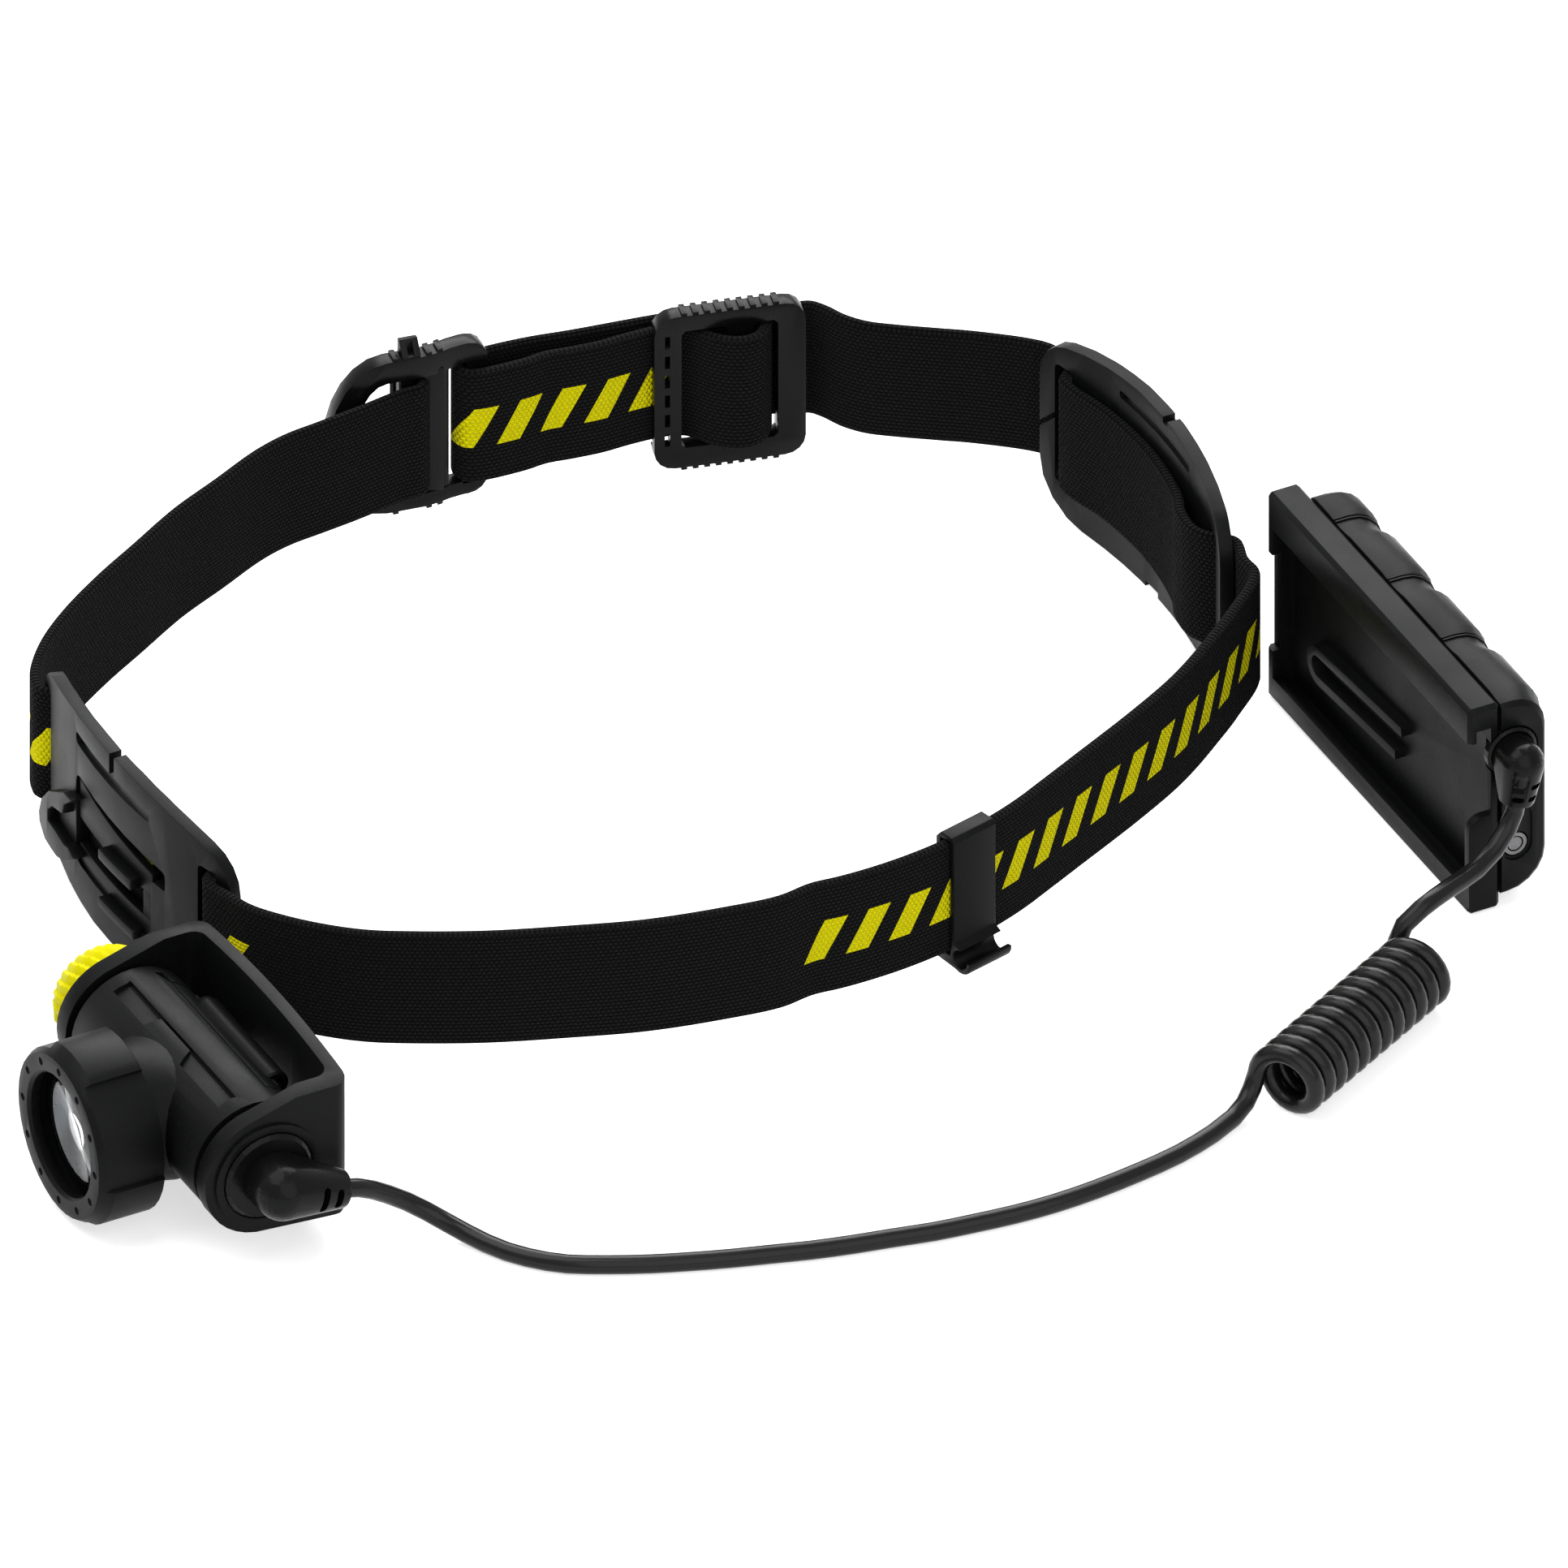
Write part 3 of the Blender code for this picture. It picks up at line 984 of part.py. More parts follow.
def build_focus(tilt):
    """Focus bezel with its ring and seal, and the lens in its carrier, round the beam axis."""
    axis = empty("beam_axis", (0.0, 0.0, -BEAM_DROP), tilt)
    front = (0.0, -1.0, 0.0)
    back = NECK_SHOULDER + GAP
    ring_low = NECK_END + GAP
    ring_high = ring_low + 0.0009
    profile = [(BEZEL_APERTURE, BEZEL_FRONT - BEZEL_LIP), (BEZEL_APERTURE, BEZEL_FRONT - 0.0006),
               (BEZEL_APERTURE + 0.0006, BEZEL_FRONT), (BEZEL_FRONT_RADIUS, BEZEL_FRONT),
               (BEZEL_RADIUS, BEZEL_FRONT - 0.0027), (BEZEL_RADIUS, back + 0.0003),
               (BEZEL_RADIUS - 0.0004, back), (NECK_RADIUS + RUNNING_GAP, back),
               (NECK_RADIUS + RUNNING_GAP, NECK_END - 0.0003), (NECK_RADIUS + 0.0015, NECK_END - 0.0003),
               (NECK_RADIUS + 0.0015, BEZEL_FRONT - BEZEL_LIP)]
    bezel = part("focus_bezel", turned(profile, front, steps=36, ring=True), "black_plastic", axis)
    for k in range(BEZEL_PADS):
        middle = BEZEL_FIELD_PLACE + 2.0 * math.pi * k / BEZEL_PADS
        angles = np.linspace(middle - BEZEL_FIELD / 2.0, middle + BEZEL_FIELD / 2.0, 8)
        field = ([((BEZEL_RADIUS - BEZEL_RECESS) * math.cos(turn), (BEZEL_RADIUS - BEZEL_RECESS) * math.sin(turn))
                  for turn in angles]
                 + [(1.1 * BEZEL_RADIUS * math.cos(turn), 1.1 * BEZEL_RADIUS * math.sin(turn))
                    for turn in reversed(angles)])
        cut(bezel, prism(field, -BEZEL_FRONT + 0.0012, -back + 0.001, "Y"))
    part("bezel_retaining_ring", tube_ring(NECK_BORE + GAP, NECK_RADIUS + 0.0011, ring_low, ring_high, front),
         "black_plastic", tilt).location = axis.location
    part("bezel_seal", tube_ring(NECK_RADIUS - 0.0004, NECK_RADIUS + 0.0001, back + 0.0024, back + 0.0031,
                                 front), "black_rubber", tilt).location = axis.location
    lens_face = BEZEL_FRONT - LENS_RECESS
    flange = lens_face - 0.0014
    lens = turned([(0.0, lens_face - 0.0056), (0.0026, lens_face - 0.0060), (0.0026, lens_face - 0.0091),
                   (LENS_RADIUS - 0.0062, lens_face - 0.0091), (LENS_RADIUS - 0.0018, lens_face - 0.0031),
                   (LENS_RADIUS - 0.0010, flange), (LENS_RADIUS, flange), (LENS_RADIUS, lens_face),
                   (0.0, lens_face + 0.0003)], front)
    part("focus_lens", lens, "clear_lens", axis)
    outer = NECK_BORE - GAP
    seat = flange - GAP
    carrier = turned([(LENS_RADIUS + GAP, lens_face - 0.0004), (outer, lens_face - 0.0004),
                      (outer, lens_face - 0.0078), (outer - CARRIER_WALL, lens_face - 0.0078),
                      (outer - CARRIER_WALL, seat - 0.0008), (LENS_RADIUS - 0.0007, seat - 0.0008),
                      (LENS_RADIUS - 0.0007, seat), (LENS_RADIUS + GAP, seat)], front, ring=True)
    part("lens_carrier", carrier, "black_plastic", axis)


# ---- battery pack -----------------------------------------------------------------------------------
def hairpin():
    """The outline of the U-shaped catch rib, its closed end at the origin."""
    outer, inner, length, shorter = 0.0042, 0.0022, 0.0385, 0.0355
    arc = np.linspace(0.5 * math.pi, 1.5 * math.pi, 9)
    return ([(length, outer)] + [(outer + outer * math.cos(turn), outer * math.sin(turn)) for turn in arc]
            + [(shorter, -outer), (shorter, -inner)]
            + [(outer + inner * math.cos(turn), inner * math.sin(turn)) for turn in reversed(arc)]
            + [(length, inner)])


def build_tray(pack):
    """Mount-side half of the pack: hook lips over a channel, end blocks and the catch rib."""
    tray = part("battery_tray", block((0.0, 0.0, 0.0), (PACK_LENGTH, TRAY_DEPTH, PACK_HEIGHT), 0.0008),
                "black_plastic", pack)
    wall = 0.0024
    past = PACK_LENGTH + 0.001
    low, high = RAIL_LIPS[0], PACK_HEIGHT - RAIL_LIPS[1]
    cut(tray, block((wall, -0.001, low), (past, RAIL_LIP_THICKNESS + 0.0005, high)))
    under = low - RAIL_UNDERCUT
    cut(tray, block((wall, RAIL_LIP_THICKNESS, under), (past, CHANNEL_DEPTH, high + RAIL_UNDERCUT)))
    cut(tray, block((-0.001, -0.001, END_OPENING[0]), (wall + 0.001, RAIL_LIP_THICKNESS, END_OPENING[1])))
    flap = fillet([(0.0, under - 0.001, 0.0), (CHANNEL_DEPTH + 0.0005, under - 0.001, 0.0),
                   (CHANNEL_DEPTH + 0.0005, FLAP_TOP, 0.0), (0.0, FLAP_TOP, 0.0030)], 5)
    add(tray, prism(flap, PACK_LENGTH - 0.0018, PACK_LENGTH, "X"))
    rib = prism(hairpin(), CHANNEL_DEPTH - 0.0022, CHANNEL_DEPTH + 0.0005, "Y")
    tilt = Matrix.Rotation(math.radians(-4.6), 4, "Y")
    bmesh.ops.transform(rib, matrix=Matrix.Translation((0.0116, 0.0, 0.0150)) @ tilt, verts=rib.verts)
    add(tray, rib)
    cut(tray, socket_bore())


def socket_place():
    """The lead socket's middle in the pack's own frame, on its left end plane."""
    return (0.0, SOCKET_PLACE[0] - PACK_FRONT, SOCKET_PLACE[1])


def socket_bore():
    """The bore for the socket's ring."""
    return rod(SOCKET_RADIUS + GAP, PACK_LENGTH - SOCKET_DEPTH - 2.0 * GAP, PACK_LENGTH + 0.001,
               (1.0, 0.0, 0.0), socket_place())


def contact_place():
    """The charge contact's middle in the pack's own frame, on its left end plane."""
    return (0.0, CONTACT_PLACE[0] - PACK_FRONT, CONTACT_PLACE[1])


def shell_ring(x, inset=0.0):
    """One cross-section of the wavy outer shell."""
    phase = ((x + PACK_LEFT - WAVE_START) / WAVE_PERIOD) % 1.0
    dip = WAVE_DEPTH * math.sin(math.pi * phase / 0.41) if phase < 0.41 else 0.0
    back = PACK_DEPTH - dip - inset
    low = SHELL_INSETS[0] + WAVE_SIDE * dip + inset
    high = PACK_HEIGHT - SHELL_INSETS[1] - WAVE_SIDE * dip - inset
    section = fillet([(TRAY_DEPTH + GAP, low, 0.0), (back, low, SHELL_CORNERS[0]), (back, high, SHELL_CORNERS[1]),
                      (TRAY_DEPTH + GAP, high, 0.0)], 5)
    return [(x, y, z) for y, z in section]


def pack_hollow():
    """The foot and the top of the space inside the shell."""
    margin = WAVE_SIDE * WAVE_DEPTH + SHELL_WALL
    return SHELL_INSETS[0] + margin, PACK_HEIGHT - SHELL_INSETS[1] - margin


def build_shell(pack):
    """Outer half of the pack: a hollow shell with a row of finger waves."""
    start = 0.0040
    first = start + 0.0022
    stops = [start, start + 0.0007, first]
    insets = [0.0022, 0.0007, 0.0]
    wave = WAVE_START - PACK_LEFT
    for period in range(4):
        for share in (0.0, 0.10, 0.205, 0.31, 0.41, 0.70):
            x = wave + WAVE_PERIOD * (period + share)
            if first < x < PACK_LENGTH - 0.002:
                stops.append(x)
                insets.append(0.0)
    stops += [PACK_LENGTH - 0.0008, PACK_LENGTH]
    insets += [0.0, 0.0008]
    rings = [shell_ring(x, inset) for x, inset in zip(stops, insets)]
    shell = part("battery_shell", loft(rings), "black_plastic", pack)
    inner_back = PACK_DEPTH - WAVE_DEPTH - SHELL_WALL
    low, high = pack_hollow()
    hollow = fillet([(TRAY_DEPTH - 0.001, low, 0.0), (inner_back, low, SHELL_CORNERS[0] - SHELL_WALL),
                     (inner_back, high, SHELL_CORNERS[1] - SHELL_WALL), (TRAY_DEPTH - 0.001, high, 0.0)], 3)
    cut(shell, prism(hollow, start + SHELL_WALL, PACK_LENGTH - SHELL_WALL, "X"))
    cut(shell, socket_bore())
    _, y, z = contact_place()
    recess = hull(circle(y, z, 0.0032, 16) + circle(y, z + 0.0060, 0.0032, 16))
    cut(shell, prism(recess, PACK_LENGTH - 0.0007, PACK_LENGTH + 0.001, "X"))
    cut(shell, rod(CONTACT_RADIUS + 0.0006, PACK_LENGTH - 0.003, PACK_LENGTH, (1.0, 0.0, 0.0),
                           (0.0, y, z), 20))


def build_pack_inside(pack):
    """Gasket, cell, protection board, charge contact and the lead's socket ring."""
    low, high = pack_hollow()
    low += GAP
    high -= GAP
    left = 0.0040 + SHELL_WALL + GAP
    right = PACK_LENGTH - SHELL_WALL - GAP
    width = 0.0012
    outline = rectangle(left, low, right, high)
    inner = rectangle(left + width, low + width, right - width - 0.0030, high - width)
    front = TRAY_DEPTH + GAP
    gasket = part("pack_gasket", prism(outline, front, front + 0.0009, "Y", holes=(inner,)), "black_rubber",
                  pack)
    cut(gasket, rod(SOCKET_RADIUS + 2.0 * GAP, PACK_LENGTH - 0.008, PACK_LENGTH, (1.0, 0.0, 0.0),
                            socket_place()))
    back = PACK_DEPTH - WAVE_DEPTH - SHELL_WALL - GAP
    cell_front = front + 0.0009 + GAP
    low += CELL_MARGINS[0]
    high -= CELL_MARGINS[1]
    part("battery_cell", block((0.0085, cell_front, low), (0.0655, back, high), 0.0008), "cell_foil", pack)
    part("protection_board", block((0.0665, cell_front, low), (0.0675, back, high)), "circuit_board", pack)
    _, y, z = contact_place()
    ring_outer = CONTACT_RADIUS + 0.0006 - GAP
    part("contact_ring", tube_ring(CONTACT_RADIUS - 0.0004, ring_outer, PACK_LENGTH - 0.0018,
                                   PACK_LENGTH - 0.0007, (1.0, 0.0, 0.0), (0.0, y, z), 20), "black_rubber", pack)
    part("charge_contact", rod(CONTACT_RADIUS - 0.0004 - GAP, 0.0679, PACK_LENGTH - 0.0008, (1.0, 0.0, 0.0),
                               (0.0, y, z), 18), "aluminium", pack)
    ring = [(0.0026, PACK_LENGTH - SOCKET_DEPTH), (SOCKET_RADIUS, PACK_LENGTH - SOCKET_DEPTH),
            (SOCKET_RADIUS, PACK_LENGTH + 0.0001), (0.0046, PACK_LENGTH + 0.0004),
            (0.0040, PACK_LENGTH + 0.0001), (0.0026, PACK_LENGTH + 0.0001)]
    part("lead_socket", turned(ring, (1.0, 0.0, 0.0), socket_place(), 24, ring=True), "black_rubber", pack)
    elbow = elbow_shape(BATTERY_ELBOW_REACH - 0.0004 - GAP, 0.0036, BATTERY_ELBOW_RADIUS, BATTERY_TAIL,
                        BATTERY_TAIL_RADII, (0.55, 0.80))
    made = part("pack_strain_relief", elbow, "black_rubber", pack)
    made.location = Vector(socket_place()) + Vector((PACK_LENGTH + 0.0004 + GAP, 0.0, 0.0))


# ---- lead -------------------------------------------------------------------------------------------
LAMP_RUN = [(0.0988, -0.1442, 0.0159), (0.0987, -0.1412, 0.0150), (0.0983, -0.1379, 0.0132), (0.0978, -0.1345, 0.0108),
            (0.0979, -0.1306, 0.0080), (0.0993, -0.1271, 0.0055), (0.1019, -0.1242, 0.0036),
            (0.1054, -0.1217, 0.0024), (0.1093, -0.1196, 0.0019), (0.1134, -0.1174, 0.00185),
            (0.1168, -0.1149, 0.00185), (0.1197, -0.1122, 0.00185), (0.1222, -0.1092, 0.00185),
            (0.1259, -0.1026, 0.00185), (0.1292, -0.0957, 0.00185), (0.1320, -0.0887, 0.00185),
            (0.1346, -0.0815, 0.00185), (0.1369, -0.0741, 0.00185), (0.1392, -0.0668, 0.00185),
            (0.1411, -0.0592, 0.00185), (0.1427, -0.0515, 0.00185), (0.1444, -0.0438, 0.00185),
            (0.1455, -0.0359, 0.00185), (0.1464, -0.0278, 0.00185), (0.1467, -0.0194, 0.00185),
            (0.1462, -0.0106, 0.00185), (0.1447, -0.0012, 0.00185), (0.1429, 0.0083, 0.00185),
            (0.1407, 0.0165, 0.00185), (0.1376, 0.0234, 0.0023)]
PACK_RUN = [(0.1117, 0.0713, 0.0160), (0.1115, 0.0765, 0.0166), (0.1091, 0.0827, 0.0170),
            (0.1062, 0.0904, 0.0172), (0.1043, 0.0951, 0.0188), (0.1028, 0.0985, 0.0213),
            (0.1020, 0.1006, 0.0246), (0.1019, 0.1010, 0.0265)]


def build_lead(root):
    """The lead: a run from the lamp, the coiled stretch as one fat round solid, and a run to the pack."""
    wire("lamp_lead", spline(LAMP_RUN, 0.008), CORD_DIAMETER, "cord_jacket", root)
    along = Vector((math.cos(COIL_HEADING), math.sin(COIL_HEADING), 0.0))
    reach = CORD_DIAMETER / 2.0
    coil = rod(COIL_RADIUS, -reach, COIL_TURNS * COIL_PITCH + reach, along, (*COIL_START, COIL_RADIUS), 20)
    part("coiled_lead", coil, "cord_jacket", root)
    wire("pack_lead", spline(PACK_RUN, 0.008), CORD_DIAMETER, "cord_jacket", root)


ON_THE_LEAD = ("lamp_lead", "coiled_lead", "pack_lead")


def stand_on_origin(root):
    """Moves the whole so that the middle of its foot, the lead left out, is the origin."""
    bpy.context.view_layer.update()
    graph = bpy.context.evaluated_depsgraph_get()
    corners = []
    for piece in PARTS:
        if piece.name not in ON_THE_LEAD:
            shape = piece.evaluated_get(graph)
            corners += [shape.matrix_world @ vertex.co for vertex in shape.to_mesh().vertices]
    low = [min(corner[k] for corner in corners) for k in range(3)]
    high = [max(corner[k] for corner in corners) for k in range(3)]
    root.location = (-(low[0] + high[0]) / 2.0, -(low[1] + high[1]) / 2.0, -low[2])


def main():
    """Builds the whole lamp."""
    clear_scene()
    root = empty("cap_lamp", (0.0, 0.0, 0.0), None)
    build_strap(root)
    build_front_plate(root)
    build_rear_plate(root)
    build_front_buckle(root)
    build_rear_buckle(root)
    build_clip(root)
    tilt = empty("tilt_axis", (PIVOT_X, PIVOT_Y, PIVOT_Z), root)
    build_yoke(tilt)
    build_lamp_gland(tilt)
    build_housing(tilt)
    build_trunnions(tilt)
    build_light_engine(tilt)
    build_wheel(tilt)
    build_focus(tilt)
    pack = empty("pack_corner", (PACK_LEFT, PACK_FRONT, 0.0), root)
    build_tray(pack)
    build_shell(pack)
    build_pack_inside(pack)
    build_lead(root)
    stand_on_origin(root)


main()
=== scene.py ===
"""Looks of a work headlamp on an elastic band, with a separate battery pack and a coiled lead.

Metres, +Z up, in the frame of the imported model. The beam points along -Y and the lamp, the cable clip and
the battery pack lie at +X. Places in the classes are taken from the middle of the layout, ORIGIN.
"""
import logging
import math
from dataclasses import dataclass
from enum import Enum
from typing import Iterable, Sequence

import bmesh
import bpy
import numpy as np
from mathutils import Matrix, Vector
from mathutils.geometry import convex_hull_2d


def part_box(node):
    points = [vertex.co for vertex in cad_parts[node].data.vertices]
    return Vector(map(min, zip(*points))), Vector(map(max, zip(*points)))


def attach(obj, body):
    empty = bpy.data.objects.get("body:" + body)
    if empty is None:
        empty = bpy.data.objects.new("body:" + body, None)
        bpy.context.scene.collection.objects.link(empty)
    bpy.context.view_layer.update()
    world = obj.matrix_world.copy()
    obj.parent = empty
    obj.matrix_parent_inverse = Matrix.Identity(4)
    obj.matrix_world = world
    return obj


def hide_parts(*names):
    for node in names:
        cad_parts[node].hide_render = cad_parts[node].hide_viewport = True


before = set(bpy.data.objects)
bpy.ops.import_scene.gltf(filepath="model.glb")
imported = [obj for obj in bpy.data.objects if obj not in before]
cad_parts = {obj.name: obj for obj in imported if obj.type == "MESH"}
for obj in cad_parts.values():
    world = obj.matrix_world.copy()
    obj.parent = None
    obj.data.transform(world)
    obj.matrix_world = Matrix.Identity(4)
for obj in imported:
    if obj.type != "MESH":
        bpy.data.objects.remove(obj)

LOG = logging.getLogger("headlamp")
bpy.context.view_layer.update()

Colour = tuple[float, float, float]
Place = tuple[float, float, float]
Limits = tuple[float, float, float, float]      # a rectangle's low corner and its high corner
Triple = tuple[float, float, float]
Outline = Sequence[tuple[float, float]]
Shape = bmesh.types.BMesh
Socket = bpy.types.NodeSocket

PACK_CORNER = Vector((0.0157, 0.0934, 0.0))     # of the pack's foot, from the middle of the layout
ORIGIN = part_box("battery_tray")[0] - PACK_CORNER
UP = Vector((0.0, 0.0, 1.0))
WHITE = (1.0, 1.0, 1.0, 1.0)
SEAM = 2e-6                                     # gap that joins a CAD node's loose triangles
POLE = 1e-7                                     # gap that joins a spun shape's poles
SLIVER = 1e-5                                   # a cut nearer than this to an end is left out
FLAT_NODE = math.radians(0.6)                   # turns that are flat on a CAD node
FLAT_CUT = math.radians(0.4)                    # turns that are flat after a Boolean
SHARP = math.radians(28.0)                      # turns whose edges are rounded
CUT_MARGIN = 0.001                              # how far a cutter stands out of a plate
FINE_EDGE = 0.0003


class Body(Enum):
    """The bodies that pieces ride on."""

    ROOT = "root"
    HEAD = "head"
    BEZEL = "bezel"
    OPTIC = "optic"
    WHEEL = "wheel"
    CLIP = "clip"


class Slot(Enum):
    """The record's material slot names, listed."""

    PLASTIC = "black_plastic"
    RUBBER = "black_rubber"
    CORD = "cord_jacket"
    WEB = "elastic_web"
    YELLOW = "yellow_plastic"
    LENS = "clear_lens"


class Work(Enum):
    """What a tool shape does to a shape."""

    CUT = "DIFFERENCE"
    TRIM = "INTERSECT"


class Axis(Enum):
    """The way an outline is pushed, as the rows that turn +Z to it."""

    X = ((0, 0, 1, 0), (1, 0, 0, 0), (0, 1, 0, 0), (0, 0, 0, 1))
    Y = ((1, 0, 0, 0), (0, 0, 1, 0), (0, 1, 0, 0), (0, 0, 0, 1))
    Z = ((1, 0, 0, 0), (0, 1, 0, 0), (0, 0, 1, 0), (0, 0, 0, 1))


# ---- nodes and finishes -----------------------------------------------------------------------------
class Graph:
    """A node tree with short calls for the nodes that the finishes share."""

    def __init__(self, owner: bpy.types.Material | bpy.types.World) -> None:
        """Opens a node tree.

        Args:
            owner: The material or world that it belongs to.
        """
        owner.use_nodes = True
        self.owner = owner
        self.tree = owner.node_tree

    def node(self, kind: str, **values: object) -> bpy.types.Node:
        """Adds a node.

        Args:
            kind: The node's type name.
            values: Its properties.

        Returns:
            The node.
        """
        made = self.tree.nodes.new(kind)
        for key, value in values.items():
            setattr(made, key, value)
        return made

    def feed(self, socket: Socket, value: object) -> None:
        """Links or sets an input socket.

        Args:
            socket: The input.
            value: An output socket, a number or a colour.
        """
        if isinstance(value, Socket):
            self.tree.links.new(value, socket)
        else:
            socket.default_value = value

    def surface(self, values: dict[str, object]) -> None:
        """Feeds the surface shader.

        Args:
            values: What each input gets, by the input's name.
        """
        for name, value in values.items():
            self.feed(self.tree.nodes["Principled BSDF"].inputs[name], value)

    def math(self, operation: str, *values: object) -> Socket:
        """A Math node's result.

        Args:
            operation: The node's operation.
            values: Its inputs, sockets or numbers.

        Returns:
            The output socket.
        """
        made = self.node("ShaderNodeMath", operation=operation)
        for socket, value in zip(made.inputs, values):
            self.feed(socket, value)
        return made.outputs[0]

    def noise(self, scale: float, detail: float = 2.0, roughness: float = 0.5) -> Socket:
        """A noise value from 0 to 1, read at the place on the object.

        Args:
            scale: Cells for each metre.
            detail: Octaves.
            roughness: How strong the finer octaves are.

        Returns:
            The output socket.
        """
        made = self.node("ShaderNodeTexNoise")
        self.feed(made.inputs["Vector"], self.node("ShaderNodeTexCoord").outputs["Object"])
        for name, value in (("Scale", scale), ("Detail", detail), ("Roughness", roughness)):
            made.inputs[name].default_value = value
        return made.outputs["Fac"]

    def spread(self, value: Socket, low: float, high: float, to_low: float, to_high: float) -> Socket:
        """Maps a range onto another one, clamped.

        Args:
            value: The input.
            low: Start of the input range.
            high: End of the input range.
            to_low: What low becomes.
            to_high: What high becomes.

        Returns:
            The output socket.
        """
        made = self.node("ShaderNodeMapRange")
        for socket, item in zip(made.inputs, (value, low, high, to_low, to_high)):
            self.feed(socket, item)
        return made.outputs[0]

    def mix(self, share: Socket, first: object, second: object) -> Socket:
        """A mix of two colours.

        Args:
            share: How much of the second one.
            first: A colour or socket.
            second: A colour or socket.

        Returns:
            The output socket.
        """
        made = self.node("ShaderNodeMix", data_type="RGBA")
        for index, value in ((0, share), (6, first), (7, second)):
            self.feed(made.inputs[index], value)
        return made.outputs[2]

    def bump(self, height: Socket, distance: float) -> Socket:
        """A bumped normal.

        Args:
            height: The relief from 0 to 1.
            distance: The relief's depth in metres.

        Returns:
            The normal's socket.
        """
        made = self.node("ShaderNodeBump")
        made.inputs["Strength"].default_value = 1.0
        made.inputs["Distance"].default_value = distance
        self.feed(made.inputs["Height"], height)
        return made.outputs["Normal"]

    def straight_rays(self) -> Socket:
        """Tells rays from the camera, through glass and off gloss from the rest.

        Returns:
            A socket that is 1 for them and 0 for the rest.
        """
        seen = self.node("ShaderNodeLightPath").outputs
        direct = self.math("MAXIMUM", seen["Is Camera Ray"], seen["Is Transmission Ray"])
        return self.math("MAXIMUM", direct, seen["Is Glossy Ray"])


def rgba(colour: Colour, share: float = 1.0) -> tuple[float, float, float, float]:
    """A share of a colour, with full alpha."""
    return (*(share * part for part in colour), 1.0)


@dataclass(frozen=True)
class Finish:
    """A named procedural finish, which each kind of material dresses in its own way."""

    name: str
    colour: Colour

    def material(self) -> bpy.types.Material:
        """Finds the finish's node material, or makes it the first time.

        Returns:
            The material.
        """
        known = bpy.data.materials.get(self.name)
        if known is None:
            known = bpy.data.materials.new(self.name)
            self.dress(Graph(known))
        return known

    def dress(self, graph: Graph) -> None:
        """Builds the material's nodes.

        Args:
            graph: The material's graph.
        """
        raise NotImplementedError


@dataclass(frozen=True)
class MouldedFinish(Finish):
    """Injection-moulded plastic or rubber with a fine spark-eroded grain and light wear."""

    worn: Colour
    roughness: float = 0.45
    roughness_swing: float = 0.10
    grain_scale: float = 2600.0
    grain_depth: float = 0.00003
    scuff_share: float = 0.25
    specular: float = 0.5
    cloud_scale: float = 60.0
    cloud_share: float = 0.6
    scuff_scale: float = 420.0
    scuff_limits: tuple[float, float] = (0.56, 0.72)
    scuff_roughness: float = 0.3

    def dress(self, graph: Graph) -> None:
        """Builds the clouded tone, the scuffs and the grain.

        Args:
            graph: The material's graph.
        """
        cloud = graph.noise(self.cloud_scale, 3.0)
        scuffs = graph.noise(self.scuff_scale, 6.0, 0.7)
        marks = graph.spread(scuffs, *self.scuff_limits, 0.0, self.scuff_share)
        tone = graph.mix(graph.spread(cloud, 0.35, 0.65, 0.0, self.cloud_share), rgba(self.colour),
                         rgba(self.colour, 0.8))
        half = self.roughness_swing / 2.0
        rough = graph.spread(cloud, 0.3, 0.7, self.roughness - half, self.roughness + half)
        graph.surface({
            "Base Color": graph.mix(marks, tone, rgba(self.worn)),
            "Roughness": graph.math("ADD", rough, graph.math("MULTIPLY", marks, self.scuff_roughness)),
            "Normal": graph.bump(graph.noise(self.grain_scale, 2.0, 0.6), self.grain_depth),
            "Specular IOR Level": self.specular,
        })


@dataclass(frozen=True)
class MetalFinish(Finish):
    """Turned or rolled metal with faint brushing."""

    roughness: float = 0.3
    metallic: float = 1.0
    roughness_half: float = 0.08
    brush_scale: float = 900.0
    brush_depth: float = 0.00001

    def dress(self, graph: Graph) -> None:
        """Builds the brushed tone and gloss.

        Args:
            graph: The material's graph.
        """
        brush = graph.noise(self.brush_scale, 4.0, 0.6)
        half = self.roughness_half
        graph.surface({
            "Base Color": graph.mix(brush, rgba(self.colour), rgba(self.colour, 0.82)),
            "Roughness": graph.spread(brush, 0.3, 0.7, self.roughness - half, self.roughness + half),
            "Normal": graph.bump(brush, self.brush_depth),
            "Metallic": self.metallic,
        })


@dataclass(frozen=True)
class ClearFinish(Finish):
    """Clear moulded optic with a faintly uneven gloss."""

    ior: float = 1.49
    haze_scale: float = 300.0

    def dress(self, graph: Graph) -> None:
        """Builds the clear body and its haze.

        Args:
            graph: The material's graph.
        """
        haze = graph.noise(self.haze_scale, 3.0)
        graph.surface({
            "Roughness": graph.spread(haze, 0.4, 0.8, 0.01, 0.06),
            "Base Color": graph.mix(haze, rgba(self.colour), rgba(self.colour, 0.96)),
            "Transmission Weight": 1.0,
            "IOR": self.ior,
        })


